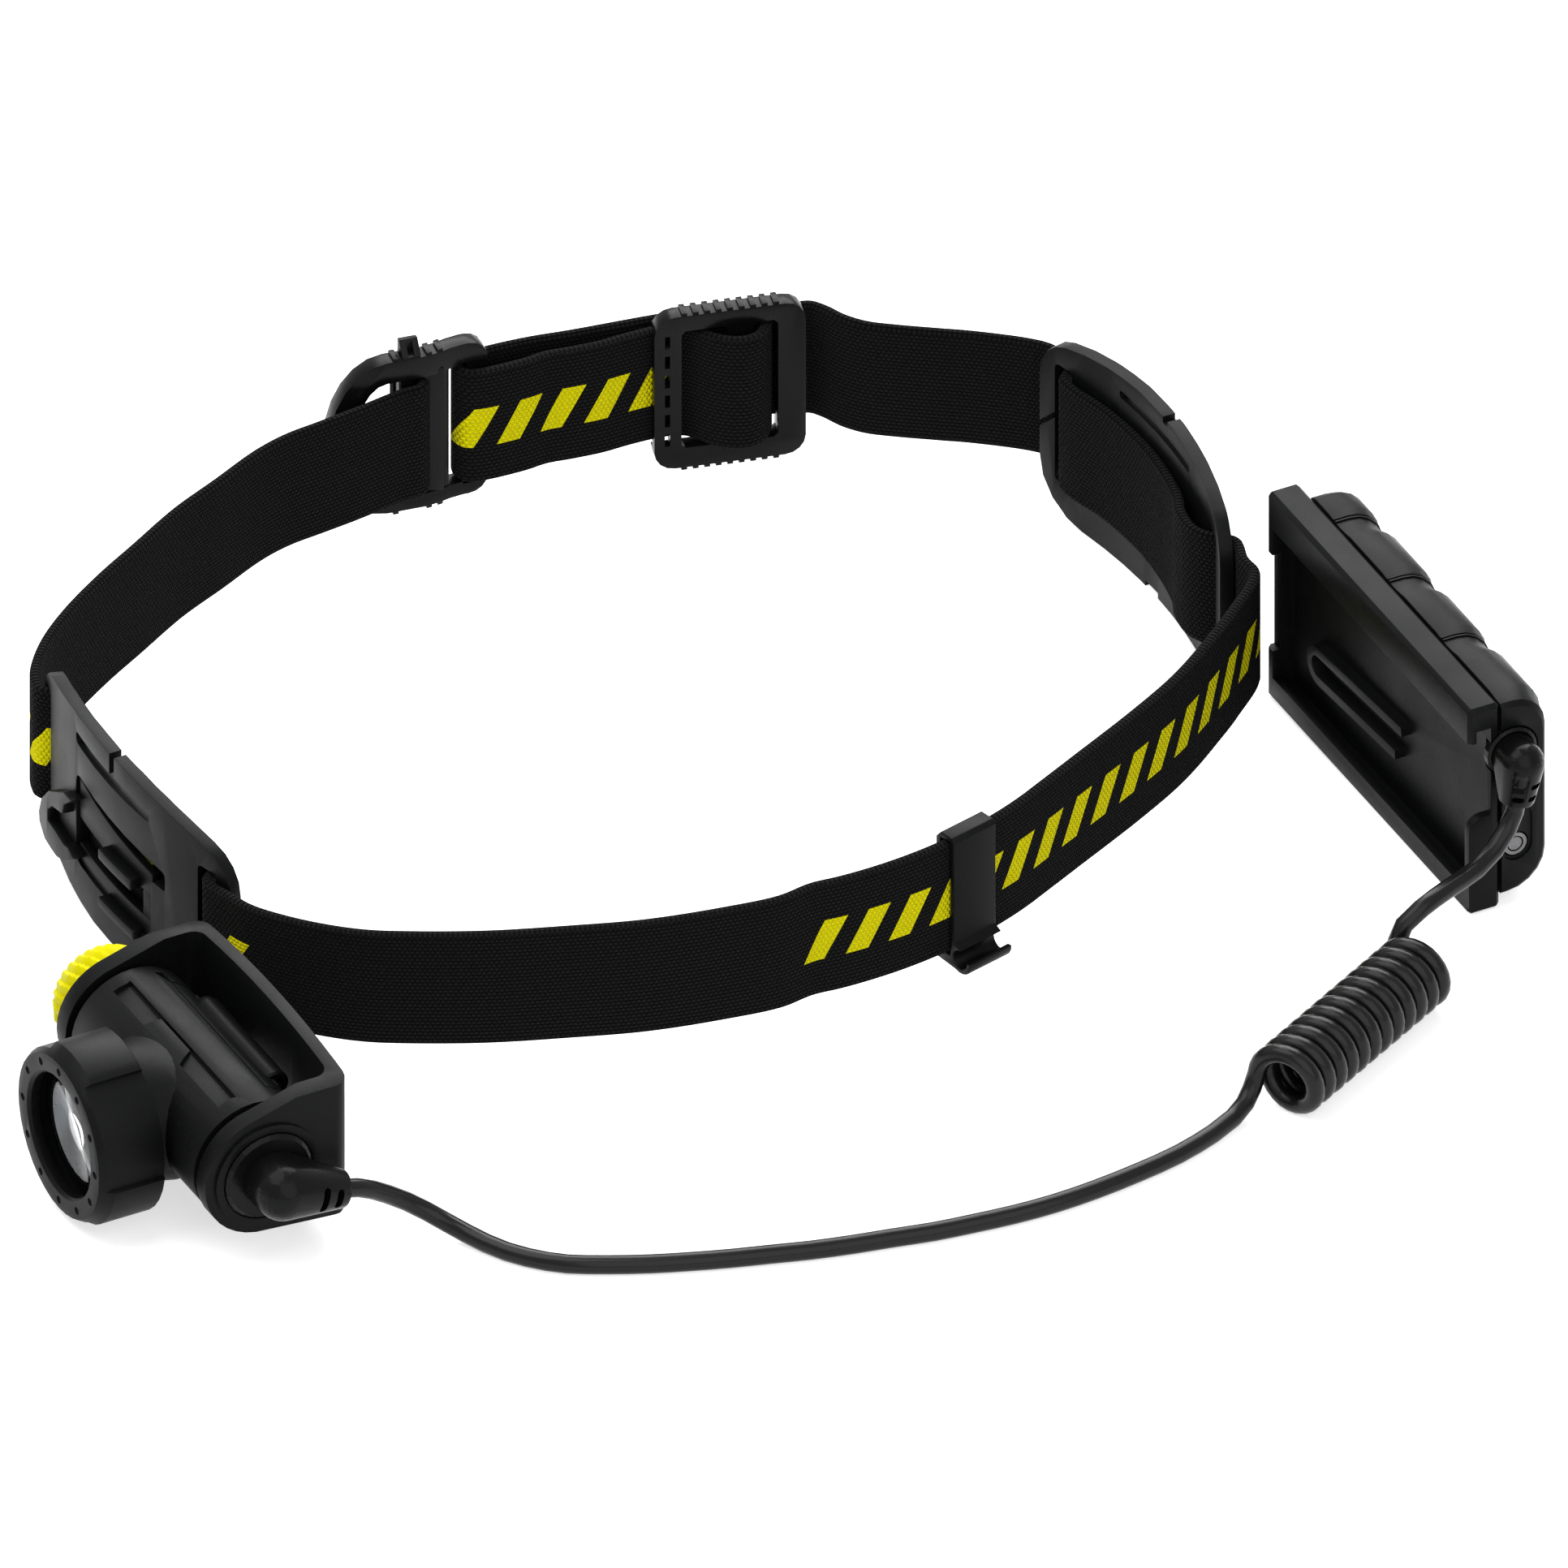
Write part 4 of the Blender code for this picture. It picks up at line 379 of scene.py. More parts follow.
@dataclass(frozen=True)
class WebFinish(Finish):
    """Woven elastic webbing: small beads of yarn in staggered rows, with woven slanted stripes and painted
    shade in the gaps between the beads.
    """

    yarn: Colour
    stripe: Colour
    bead_length: float = 0.00095
    bead_height: float = 0.00080
    bead_depth: float = 0.00055
    fuzz_scale: float = 1500.0
    gloss: float = 0.02

    def beads(self, graph: Graph, along: Socket, across: Socket) -> Socket:
        """The relief of the beads.

        Args:
            graph: The material's graph.
            along: Metres along the band.
            across: Metres across it.

        Returns:
            The height's socket, from 0 to 1.
        """
        row = graph.math("DIVIDE", across, self.bead_height)
        stagger = graph.math("MULTIPLY", graph.math("MODULO", graph.math("FLOOR", row), 2.0), 0.5)
        column = graph.math("ADD", graph.math("DIVIDE", along, self.bead_length), stagger)
        bulges = [graph.math("ABSOLUTE", graph.math("SINE", graph.math("MULTIPLY", value, math.pi)))
                  for value in (row, column)]
        return graph.math("MULTIPLY", *bulges)

    def stripes(self, graph: Graph, along: Socket, across: Socket) -> Socket:
        """Where the woven stripes are.

        Args:
            graph: The material's graph.
            along: Metres along the band.
            across: Metres across it, from its foot.

        Returns:
            A mask from 0 to 1.
        """
        phase, amount = (graph.node("ShaderNodeAttribute", attribute_name=name).outputs["Fac"]
                         for name in (Band.PHASE_NAME, Band.COUNT_NAME))
        slanted = graph.math("SUBTRACT", along, graph.math("MULTIPLY", across, Band.STRIPE_SLANT))
        count = graph.math("DIVIDE", graph.math("SUBTRACT", slanted, phase), Band.STRIPE_PITCH)
        mask = graph.math("LESS_THAN", graph.math("FRACT", count), Band.STRIPE_WIDTH / Band.STRIPE_PITCH)
        for operation, value, limit in (("GREATER_THAN", across, Band.STRIPE_LOW),
                                        ("LESS_THAN", across, Band.STRIPE_HIGH),
                                        ("GREATER_THAN", count, 0.0), ("LESS_THAN", count, amount)):
            mask = graph.math("MULTIPLY", mask, graph.math(operation, value, limit))
        return mask

    def dress(self, graph: Graph) -> None:
        """Builds the weave, with painted shade in the gaps between its beads, and its stripes.

        Args:
            graph: The material's graph.
        """
        split = graph.node("ShaderNodeSeparateXYZ")
        graph.feed(split.inputs[0], graph.node("ShaderNodeUVMap", uv_map=Band.UV_NAME).outputs[0])
        along, across = split.outputs[:2]
        height = self.beads(graph, along, across)
        fuzz = graph.spread(graph.noise(self.fuzz_scale, 3.0), 0.3, 0.7, 0.5, 1.0)
        # The gaps between the beads are painted near black as shade, by bead height; the fuzz is random yarn
        # tone.
        relief_shade_and_fuzz = graph.math("MULTIPLY", height, fuzz)
        plain = graph.mix(relief_shade_and_fuzz, rgba(self.colour), rgba(self.yarn))
        # The stripes are painted 14% darker in the gaps between the beads, as shade.
        striped = graph.mix(height, rgba(self.stripe, 0.86), rgba(self.stripe))
        mask = self.stripes(graph, along, across)
        graph.surface({
            "Base Color": graph.mix(mask, plain, striped),
            "Roughness": graph.spread(mask, 0.0, 1.0, 0.85, 0.75),
            "Normal": graph.bump(height, self.bead_depth),
            "Specular IOR Level": self.gloss,
            "Sheen Weight": self.gloss,
            "Sheen Roughness": 0.6,
        })


PLASTIC = MouldedFinish("charcoal_moulded_plastic", (0.0036, 0.0038, 0.0040), (0.010, 0.0105, 0.011), 0.42,
                        specular=0.07)
SMOOTH_PLASTIC = MouldedFinish("smooth_black_plastic", (0.0040, 0.0041, 0.0043), (0.011, 0.0115, 0.012),
                               0.26, grain_depth=0.000010, specular=0.09)
RUBBER = MouldedFinish("matt_black_rubber", (0.0060, 0.0060, 0.0064), (0.018, 0.018, 0.019), 0.50,
                       specular=0.07)
JACKET = MouldedFinish("glossy_cord_jacket", (0.0050, 0.0050, 0.0054), (0.014, 0.014, 0.015), 0.24, 0.08,
                       grain_scale=1400.0, grain_depth=0.00002, scuff_share=0.15, specular=0.18)
YELLOW = MouldedFinish("yellow_signal_plastic", (0.66, 0.61, 0.0), (0.52, 0.47, 0.0), 0.50, 0.08,
                       scuff_share=0.15, specular=0.05)
BOARD = MouldedFinish("green_solder_mask", (0.015, 0.10, 0.045), (0.05, 0.20, 0.09), 0.35)
PHOSPHOR = MouldedFinish("led_phosphor", (0.90, 0.72, 0.18), (0.95, 0.85, 0.40), 0.5)
# The ground colour is the near-black painted shade in the gaps between the beads; the yarn colour is the bead
# tops'.
WEB = WebFinish("black_woven_elastic", (0.0001, 0.0001, 0.0002), (0.0150, 0.0150, 0.0156), (0.92, 0.85, 0.0))
LENS = ClearFinish("clear_moulded_optic", (0.97, 0.98, 0.99))
ALUMINIUM = MetalFinish("turned_aluminium", (0.78, 0.79, 0.80))
MIRROR = MetalFinish("bright_facets", (0.11, 0.115, 0.12), 0.12)
STEEL = MetalFinish("drawn_spring_steel", (0.50, 0.50, 0.51), 0.30)
DULL_CONTACT = MetalFinish("dull_contact_metal", (0.16, 0.16, 0.165), 0.5, 0.8)
FOIL = MetalFinish("cell_wrap_foil", (0.60, 0.61, 0.62), 0.35, 0.6)

CARRIED = {
    RUBBER: ("left_pivot_washer", "right_pivot_washer", "wheel_seal", "bezel_seal", "pack_gasket"),
    SMOOTH_PLASTIC: ("left_trunnion", "right_trunnion", "lead_socket", "bezel_retaining_ring",
                     "lens_carrier", "rotary_switch", "lamp_gland_disc"),
    ALUMINIUM: ("heat_sink",),
    STEEL: ("wheel_shaft", "wheel_return_spring"),
    DULL_CONTACT: ("contact_ring", "charge_contact"),
    BOARD: ("led_board", "driver_board", "protection_board"),
    PHOSPHOR: ("led_emitter",),
    FOIL: ("battery_cell",),
}


# ---- shape helpers ----------------------------------------------------------------------------------
def fillet(corners: Sequence[Triple], steps: int) -> Outline:
    """Rounds the corners of a closed outline.

    Args:
        corners: (a, b, radius) of each corner.
        steps: Facets of each rounded corner.

    Returns:
        The outline's points.
    """
    outline = []
    for index, (a, b, radius) in enumerate(corners):
        if radius <= 0.0:
            outline.append((a, b))
            continue
        here = Vector((a, b))
        before = (Vector(corners[index - 1][:2]) - here).normalized()
        after = (Vector(corners[(index + 1) % len(corners)][:2]) - here).normalized()
        half = before.angle(after) / 2.0
        middle = here + (before + after).normalized() * (radius / math.sin(half))
        start = here + before * (radius / math.tan(half)) - middle
        stop = here + after * (radius / math.tan(half)) - middle
        turn = math.copysign(math.pi - 2.0 * half, start.x * stop.y - start.y * stop.x)
        for step in range(steps + 1):
            outline.append(tuple(middle + Matrix.Rotation(turn * step / steps, 2) @ start))
    return outline


def rectangle(a_low: float, b_low: float, a_high: float, b_high: float, radius: float = 0.0) -> Outline:
    """A rectangle's outline with rounded corners."""
    corners = ((a_low, b_low), (a_high, b_low), (a_high, b_high), (a_low, b_high))
    return fillet([(*corner, radius) for corner in corners], 4)


def circle(a: float, b: float, radius: float, steps: int) -> Outline:
    """Points round a circle."""
    turns = [2.0 * math.pi * k / steps for k in range(steps)]
    return [(a + radius * math.cos(turn), b + radius * math.sin(turn)) for turn in turns]


def capsule(start: Vector, stop: Vector, radius: float, steps: int) -> Outline:
    """The outline round two equal circles."""
    points = circle(*start, radius, steps) + circle(*stop, radius, steps)
    return [points[index] for index in convex_hull_2d(points)]


def prism(outline: Outline, low: float, high: float, axis: Axis) -> Shape:
    """Pushes a flat outline along an axis.

    Args:
        outline: Its points, in YZ for X, XZ for Y and XY for Z.
        low: Where it starts.
        high: Where it ends.
        axis: The axis.

    Returns:
        A closed shape.
    """
    bm = bmesh.new()
    bm.faces.new([bm.verts.new((a, b, low)) for a, b in outline])
    raised = bmesh.ops.extrude_face_region(bm, geom=bm.faces[:])
    moved = [item for item in raised["geom"] if isinstance(item, bmesh.types.BMVert)]
    bmesh.ops.translate(bm, verts=moved, vec=(0.0, 0.0, high - low))
    bmesh.ops.transform(bm, matrix=Matrix(axis.value), verts=bm.verts)
    bmesh.ops.recalc_face_normals(bm, faces=bm.faces)
    return bm


def turned(profile: Outline, towards: Sequence[float], centre: Sequence[float] = (0.0, 0.0, 0.0),
           steps: int = 48, ring: bool = False) -> Shape:
    """Spins a profile about an axis.

    Args:
        profile: (radius, height) points.
        towards: The axis.
        centre: The axis's start.
        steps: Facets round it.
        ring: Whether the profile closes on itself.

    Returns:
        A closed shape.
    """
    bm = bmesh.new()
    points = [bm.verts.new((radius, 0.0, height)) for radius, height in profile]
    lines = [bm.edges.new(pair) for pair in zip(points, points[1:])]
    if ring:
        lines.append(bm.edges.new((points[-1], points[0])))
    bmesh.ops.spin(bm, geom=points + lines, cent=(0.0, 0.0, 0.0), axis=UP, angle=2.0 * math.pi, steps=steps,
                   use_merge=True)
    bmesh.ops.remove_doubles(bm, verts=bm.verts, dist=POLE)
    turn = UP.rotation_difference(Vector(towards)).to_matrix().to_4x4()
    bmesh.ops.transform(bm, matrix=Matrix.Translation(centre) @ turn, verts=bm.verts)
    bmesh.ops.recalc_face_normals(bm, faces=bm.faces)
    return bm


def settled(bm: Shape) -> Shape:
    """Moves a shape from the middle of the layout to its place in the frame."""
    bmesh.ops.translate(bm, vec=ORIGIN, verts=bm.verts)
    return bm


def softened(bm: Shape, width: float, segments: int = 2) -> Shape:
    """Rounds off a shape's sharp edges.

    Args:
        bm: The shape.
        width: The rounding's width.
        segments: Facets across it.

    Returns:
        The same shape.
    """
    sharp = [edge for edge in bm.edges if edge.is_manifold and edge.calc_face_angle(0.0) > SHARP]
    bmesh.ops.bevel(bm, geom=sharp, offset=width, segments=segments, profile=0.5, affect="EDGES",
                    material=-1, clamp_overlap=True)
    return bm


def copy_of(node: str) -> Shape:
    """Copies a CAD node's shape and merges its triangles.

    Args:
        node: The node's name.

    Returns:
        The copy.
    """
    bm = bmesh.new()
    bm.from_mesh(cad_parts[node].data)
    bmesh.ops.remove_doubles(bm, verts=bm.verts, dist=SEAM)
    bmesh.ops.dissolve_limit(bm, angle_limit=FLAT_NODE, verts=bm.verts, edges=bm.edges)
    return bm


def linked(name: str, data: bpy.types.ID) -> bpy.types.Object:
    """Adds an object to the scene, at the origin.

    Args:
        name: Its name.
        data: Its mesh, curve, camera or light.

    Returns:
        The object.
    """
    made = bpy.data.objects.new(name, data)
    bpy.context.scene.collection.objects.link(made)
    return made


def to_object(name: str, bm: Shape) -> bpy.types.Object:
    """Makes a shape an object at the origin.

    Args:
        name: The object's name.
        bm: The shape, which is used up.

    Returns:
        The object.
    """
    mesh = bpy.data.meshes.new(name)
    bm.to_mesh(mesh)
    bm.free()
    return linked(name, mesh)


def combined(bm: Shape, tools: Iterable[Shape], work: Work) -> Shape:
    """Cuts or trims a shape with tool shapes.

    Args:
        bm: The shape, which is used up.
        tools: The tool shapes, which are used up.
        work: What they do.

    Returns:
        The new shape.
    """
    body = to_object("worked_shape", bm)
    hidden = [to_object("tool_shape", tool) for tool in tools]
    for tool in hidden:
        step = body.modifiers.new("step", "BOOLEAN")
        step.operation = work.value
        step.solver = "EXACT"
        step.object = tool
    result = bmesh.new()
    result.from_object(body, bpy.context.evaluated_depsgraph_get())
    for done in (body, *hidden):
        bpy.data.objects.remove(done, do_unlink=True)
    bmesh.ops.dissolve_limit(result, angle_limit=FLAT_CUT, verts=result.verts, edges=result.edges)
    return result


def place(name: str, bm: Shape, replaces: Sequence[str] = (), finish: Finish = PLASTIC,
          body: Body = Body.ROOT, sharp_angle: float = 34.0) -> bpy.types.Object:
    """Makes a finished piece of the object.

    Args:
        name: The piece's name.
        bm: Its shape, which is used up.
        replaces: CAD nodes that it stands for.
        finish: Its finish.
        body: The body that it rides on.
        sharp_angle: Edges that turn by more than this many degrees shade sharp.

    Returns:
        The piece.
    """
    made = to_object(name, bm)
    made.data.materials.append(finish.material())
    made.data.shade_smooth()
    made.data.set_sharp_from_angle(angle=math.radians(sharp_angle))
    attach(made, body.value)
    if replaces:
        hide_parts(*replaces)
    LOG.info("%s: %d faces, rides on %s", name, len(made.data.polygons), body.value)
    return made


def carried(node: str, finish: Finish) -> None:
    """Gives a CAD node that stays its finish.

    Args:
        node: The node's name.
        finish: The finish.
    """
    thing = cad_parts[node]
    if not thing.material_slots:
        thing.data.materials.append(None)
    thing.material_slots[0].material = finish.material()
    LOG.info("%s: carried over", node)


def spline(points: Iterable[Sequence[float]], spacing: float) -> list[Vector]:
    """A smooth curve through points.

    Args:
        points: The knots.
        spacing: How far its points may lie apart.

    Returns:
        Closely spaced points along it.
    """
    knots = [Vector(point) for point in points]
    row = [2.0 * knots[0] - knots[1], *knots, 2.0 * knots[-1] - knots[-2]]
    curve = []
    for before, start, end, after in zip(row, row[1:], row[2:], row[3:]):
        first, span, last = (max((b - a).length, 1e-9) ** 0.5
                             for a, b in ((before, start), (start, end), (end, after)))
        leave = ((start - before) / first - (end - before) / (first + span) + (end - start) / span) * span
        arrive = ((end - start) / span - (after - start) / (span + last) + (after - end) / last) * span
        count = max(1, round((end - start).length / spacing))
        for k in range(count):
            t = k / count
            curve.append((2 * t ** 3 - 3 * t ** 2 + 1) * start + (t ** 3 - 2 * t ** 2 + t) * leave
                         + (3 * t ** 2 - 2 * t ** 3) * end + (t ** 3 - t ** 2) * arrive)
    curve.append(knots[-1])
    return curve


@dataclass
class RoundedNode:
    """A CAD node that is shown in its own shape, with its sharp edges rounded."""

    name: str
    node: str
    edge: float = 0.0005
    segments: int = 3
    finish: Finish = PLASTIC
    body: Body = Body.ROOT

    def build(self) -> None:
        """Builds the piece."""
        shape = softened(copy_of(self.node), self.edge, self.segments)
        place(self.name, shape, (self.node,), self.finish, self.body)


# ---- stage ------------------------------------------------------------------------------------------
@dataclass
class Studio:
    """Camera, soft lights, pale world and floor; azimuth 0 looks along +Y."""

    azimuth: float = 62.46
    elevation: float = 35.0
    view_width: float = 0.29273
    camera_distance: float = 1.2
    far_clip: float = 20.0
    lamp_distance: float = 1.1
    lamps: tuple[tuple[str, float, float, float, float], ...] = (
        ("key_lamp", -12.0, 66.0, 8.0, 0.9), ("rim_lamp", 236.0, 46.0, 16.0, 0.9),
        ("fill_lamp", 84.0, 34.0, 5.5, 1.1))    # name, azimuth, elevation, watts and side of each
    world_strength: float = 0.30
    floor_size: float = 8.0
    floor_glow: float = 0.62
    floor_tones: tuple[float, float] = (0.86, 0.84)
    floor_roughness: float = 0.9

    def aimed(self, data: bpy.types.ID, azimuth: float, elevation: float, distance: float
              ) -> bpy.types.Object:
        """Aims a camera or lamp at the middle of the layout.

        Args:
            data: The camera or light.
            azimuth: Degrees round the object.
            elevation: Degrees above the horizon.
            distance: How far off it stands.

        Returns:
            Its object.
        """
        turn, rise = math.radians(azimuth), math.radians(elevation)
        back = Vector((math.sin(turn) * math.cos(rise), -math.cos(turn) * math.cos(rise), math.sin(rise)))
        made = linked(data.name, data)
        made.location = ORIGIN + back * distance
        made.rotation_mode = "QUATERNION"
        made.rotation_quaternion = (-back).to_track_quat("-Z", "Y")
        return made

    def camera(self) -> None:
        """An orthographic camera."""
        data = bpy.data.cameras.new("camera")
        data.type = "ORTHO"
        data.ortho_scale = self.view_width
        data.clip_end = self.far_clip
        bpy.context.scene.camera = self.aimed(data, self.azimuth, self.elevation, self.camera_distance)

    def world(self) -> None:
        """A pale surround that the camera, gloss and glass see as white."""
        made = bpy.data.worlds.new("pale_surround")
        graph = Graph(made)
        graph.tree.nodes.clear()
        soft, white = graph.node("ShaderNodeBackground"), graph.node("ShaderNodeBackground")
        for background in (soft, white):
            background.inputs["Color"].default_value = WHITE
        soft.inputs["Strength"].default_value = self.world_strength
        mixer = graph.node("ShaderNodeMixShader")
        for socket, source in zip(mixer.inputs, (graph.straight_rays(), soft.outputs[0], white.outputs[0])):
            graph.feed(socket, source)
        graph.feed(graph.node("ShaderNodeOutputWorld").inputs[0], mixer.outputs[0])
        bpy.context.scene.world = made

    def floor(self) -> None:
        """A pale floor that looks white where no shadow falls."""
        bm = bmesh.new()
        bmesh.ops.create_grid(bm, x_segments=1, y_segments=1, size=self.floor_size / 2.0)
        made = to_object("floor", bm)
        graph = Graph(bpy.data.materials.new("pale_floor"))
        light, dark = ((tone, tone, tone, 1.0) for tone in self.floor_tones)
        graph.surface({
            "Base Color": graph.mix(graph.noise(3.0), light, dark),
            "Roughness": self.floor_roughness,
            "Specular IOR Level": 0.0,
            "Emission Color": WHITE,
            "Emission Strength": graph.math("MULTIPLY", graph.straight_rays(), self.floor_glow),
        })
        made.data.materials.append(graph.owner)

    def build(self) -> None:
        """Builds the stage."""
        self.camera()
        self.world()
        self.floor()
        for name, azimuth, elevation, power, side in self.lamps:
            data = bpy.data.lights.new(name, "AREA")
            data.energy = power
            data.size = side
            self.aimed(data, azimuth, elevation, self.lamp_distance)
        bpy.context.scene.view_settings.view_transform = "Standard"


# ---- lead -------------------------------------------------------------------------------------------
@dataclass
class Lead:
    """The one lead from the lamp to the pack, wound into a tight coil on its way."""

    LENGTH = 0.69
    diameter: float = 0.0037
    coil_radius: float = 0.00595
    coil_pitch: float = 0.00381
    coil_turns: int = 12
    coil_start: Place = (0.1393, 0.0325, 0.0078)
    coil_heading: float = math.radians(118.4)
    points_a_turn: int = 24
    spacing: float = 0.004
    roundness: int = 5

    LAMP_RUN = ((0.0988, -0.1442, 0.0159), (0.0987, -0.1412, 0.0150), (0.0983, -0.1379, 0.0132),
                (0.0978, -0.1345, 0.0108), (0.0979, -0.1306, 0.0080), (0.0993, -0.1271, 0.0055),
                (0.1019, -0.1242, 0.0036), (0.1054, -0.1217, 0.0024), (0.1093, -0.1196, 0.0019))
    FLOOR_RUN = ((0.1134, -0.1174), (0.1168, -0.1149), (0.1197, -0.1122), (0.1222, -0.1092),
                 (0.1259, -0.1026), (0.1292, -0.0957), (0.1320, -0.0887), (0.1346, -0.0815),
                 (0.1369, -0.0741), (0.1392, -0.0668), (0.1411, -0.0592), (0.1427, -0.0515),
                 (0.1444, -0.0438), (0.1455, -0.0359), (0.1464, -0.0278), (0.1467, -0.0194),
                 (0.1462, -0.0106), (0.1450, -0.0012), (0.1432, 0.0083), (0.1402, 0.0172))
    COIL_RUN = ((0.1378, 0.0226, 0.0021), (0.1358, 0.0262, 0.0030), (0.1345, 0.0283, 0.0048))
    PACK_RUN = ((0.1122, 0.0706, 0.0110), (0.1119, 0.0722, 0.0140), (0.1116, 0.0760, 0.0163),
                (0.1092, 0.0827, 0.0170), (0.1062, 0.0904, 0.0172), (0.1043, 0.0951, 0.0188),
                (0.1028, 0.0985, 0.0213), (0.1020, 0.1006, 0.0246), (0.1019, 0.1010, 0.0265))

    def coil(self) -> list[Vector]:
        """The lying coil's centreline.

        Returns:
            Its points, from the middle of the layout.
        """
        ahead = Vector((math.cos(self.coil_heading), math.sin(self.coil_heading), 0.0))
        inward = Vector((-ahead.y, ahead.x, 0.0))
        points = []
        for k in range(self.coil_turns * self.points_a_turn + 1):
            turn = 2.0 * math.pi * k / self.points_a_turn
            swing = inward * math.cos(turn) + UP * math.sin(turn)
            points.append(Vector(self.coil_start) + ahead * (self.coil_pitch * turn / (2.0 * math.pi))
                          + swing * self.coil_radius)
        return points

    def route(self) -> list[Vector]:
        """The centreline from the lamp's strain relief to the pack's.

        Returns:
            Its points, in the frame.
        """
        coil = self.coil()
        lying = [(x, y, self.diameter / 2.0) for x, y in self.FLOOR_RUN]
        near = spline([*self.LAMP_RUN, *lying, *self.COIL_RUN, *coil[:2]], self.spacing)[:-2]
        far = spline([*coil[-2:], *self.PACK_RUN], self.spacing)[2:]
        return [point + ORIGIN for point in (*near, *coil, *far)]

    def build(self) -> None:
        points = self.route()
        curve = bpy.data.curves.new("lead", "CURVE")
        curve.dimensions = "3D"
        curve.bevel_depth = self.diameter / 2.0
        curve.bevel_resolution = self.roundness
        curve.use_fill_caps = True
        run = curve.splines.new("POLY")
        run.points.add(len(points) - 1)
        for knot, point in zip(run.points, points):
            knot.co = (*point, 1.0)
        run.use_smooth = True
        lead = linked("lead", curve)
        curve.materials.append(JACKET.material())
        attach(lead, Body.ROOT.value)
        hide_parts("lamp_lead", "coiled_lead", "pack_lead")
        LOG.info("lead: %.4f m", sum((b - a).length for a, b in zip(points, points[1:])))


# ---- plates and band --------------------------------------------------------------------------------
@dataclass
class Plate:
    """A mounting plate's arc: where its face lies and which way it bulges."""

    middle_x: float
    face_y: float
    facing: float
    slots: tuple[float, float]
    free_ends: tuple[float, float]
    bulge: float = 0.0
    radius: float = 0.120
    thickness: float = 0.0026
    facet: float = 0.0025

    def point(self, along: float, radius: float) -> tuple[float, float]:
        """Finds a point beside the plate's arc.

        Args:
            along: Way along the face from its middle.
            radius: The arc's radius there.

        Returns:
            Its x and y.
        """
        angle = along / self.radius
        return (self.middle_x + radius * math.sin(angle),
                self.face_y + self.facing * (radius * math.cos(angle) - self.radius))

    def bent(self, outline: Outline, low: float, high: float, edge: float = 0.0) -> Shape:
        """A raised shape that follows the plate's arc.

        Args:
            outline: Along the face and up.
            low: Where it starts, out from the inner face.
            high: Where it ends.
            edge: How much its edges are rounded.

        Returns:
            The shape in the frame.
        """
        bm = prism(outline, low, high, Axis.Y)
        if edge > 0.0:
            softened(bm, edge)
        left, right = (pick(corner.co.x for corner in bm.verts) for pick in (min, max))
        for x in np.arange(math.floor(left / self.facet) * self.facet, right, self.facet):
            if left + SLIVER < x < right - SLIVER:
                bmesh.ops.bisect_plane(bm, geom=bm.verts[:] + bm.edges[:] + bm.faces[:], dist=POLE,
                                       plane_co=(x, 0.0, 0.0), plane_no=(1.0, 0.0, 0.0))
        for corner in bm.verts:
            corner.co.x, corner.co.y = self.point(corner.co.x, self.radius + corner.co.y)
        bmesh.ops.recalc_face_normals(bm, faces=bm.faces)
        return settled(bm)

    def split(self, node: str, outlines: Iterable[Outline], edge: float) -> Shape:
        """Cuts splits through a CAD plate and rounds its edges.

        Args:
            node: The plate's node.
            outlines: The splits, along the face and up.
            edge: How much the edges are rounded.

        Returns:
            The plate's shape.
        """
        tools = [self.bent(outline, -CUT_MARGIN, self.thickness + CUT_MARGIN) for outline in outlines]
        return softened(combined(copy_of(node), tools, Work.CUT), edge, segments=3)


FRONT_PLATE = Plate(-0.012, -0.1328, -1.0, (-0.0351, 0.0305), (0.0040, 0.0075))
REAR_PLATE = Plate(-0.02175, 0.0898, 1.0, (-0.0305, 0.0305), (0.0075, 0.0075), 0.0022)


@dataclass
class Buckle:
    """Where a slider buckle stands in the layout's plan, and how far it is turned."""

    x: float
    y: float
    turn: float

    def point(self, along: float, out: float) -> tuple[float, float]:
        """Finds a point of the buckle's plan.

        Args:
            along: Way along its length.
            out: Way out from the wearer's side.

        Returns:
            Its x and y.
        """
        sin, cos = math.sin(self.turn), math.cos(self.turn)
        return (self.x + along * sin - out * cos, self.y + along * cos + out * sin)


FRONT_BUCKLE = Buckle(-0.1077, -0.0413, math.radians(9.5))
REAR_BUCKLE = Buckle(-0.0966, 0.0231, math.radians(14.8))


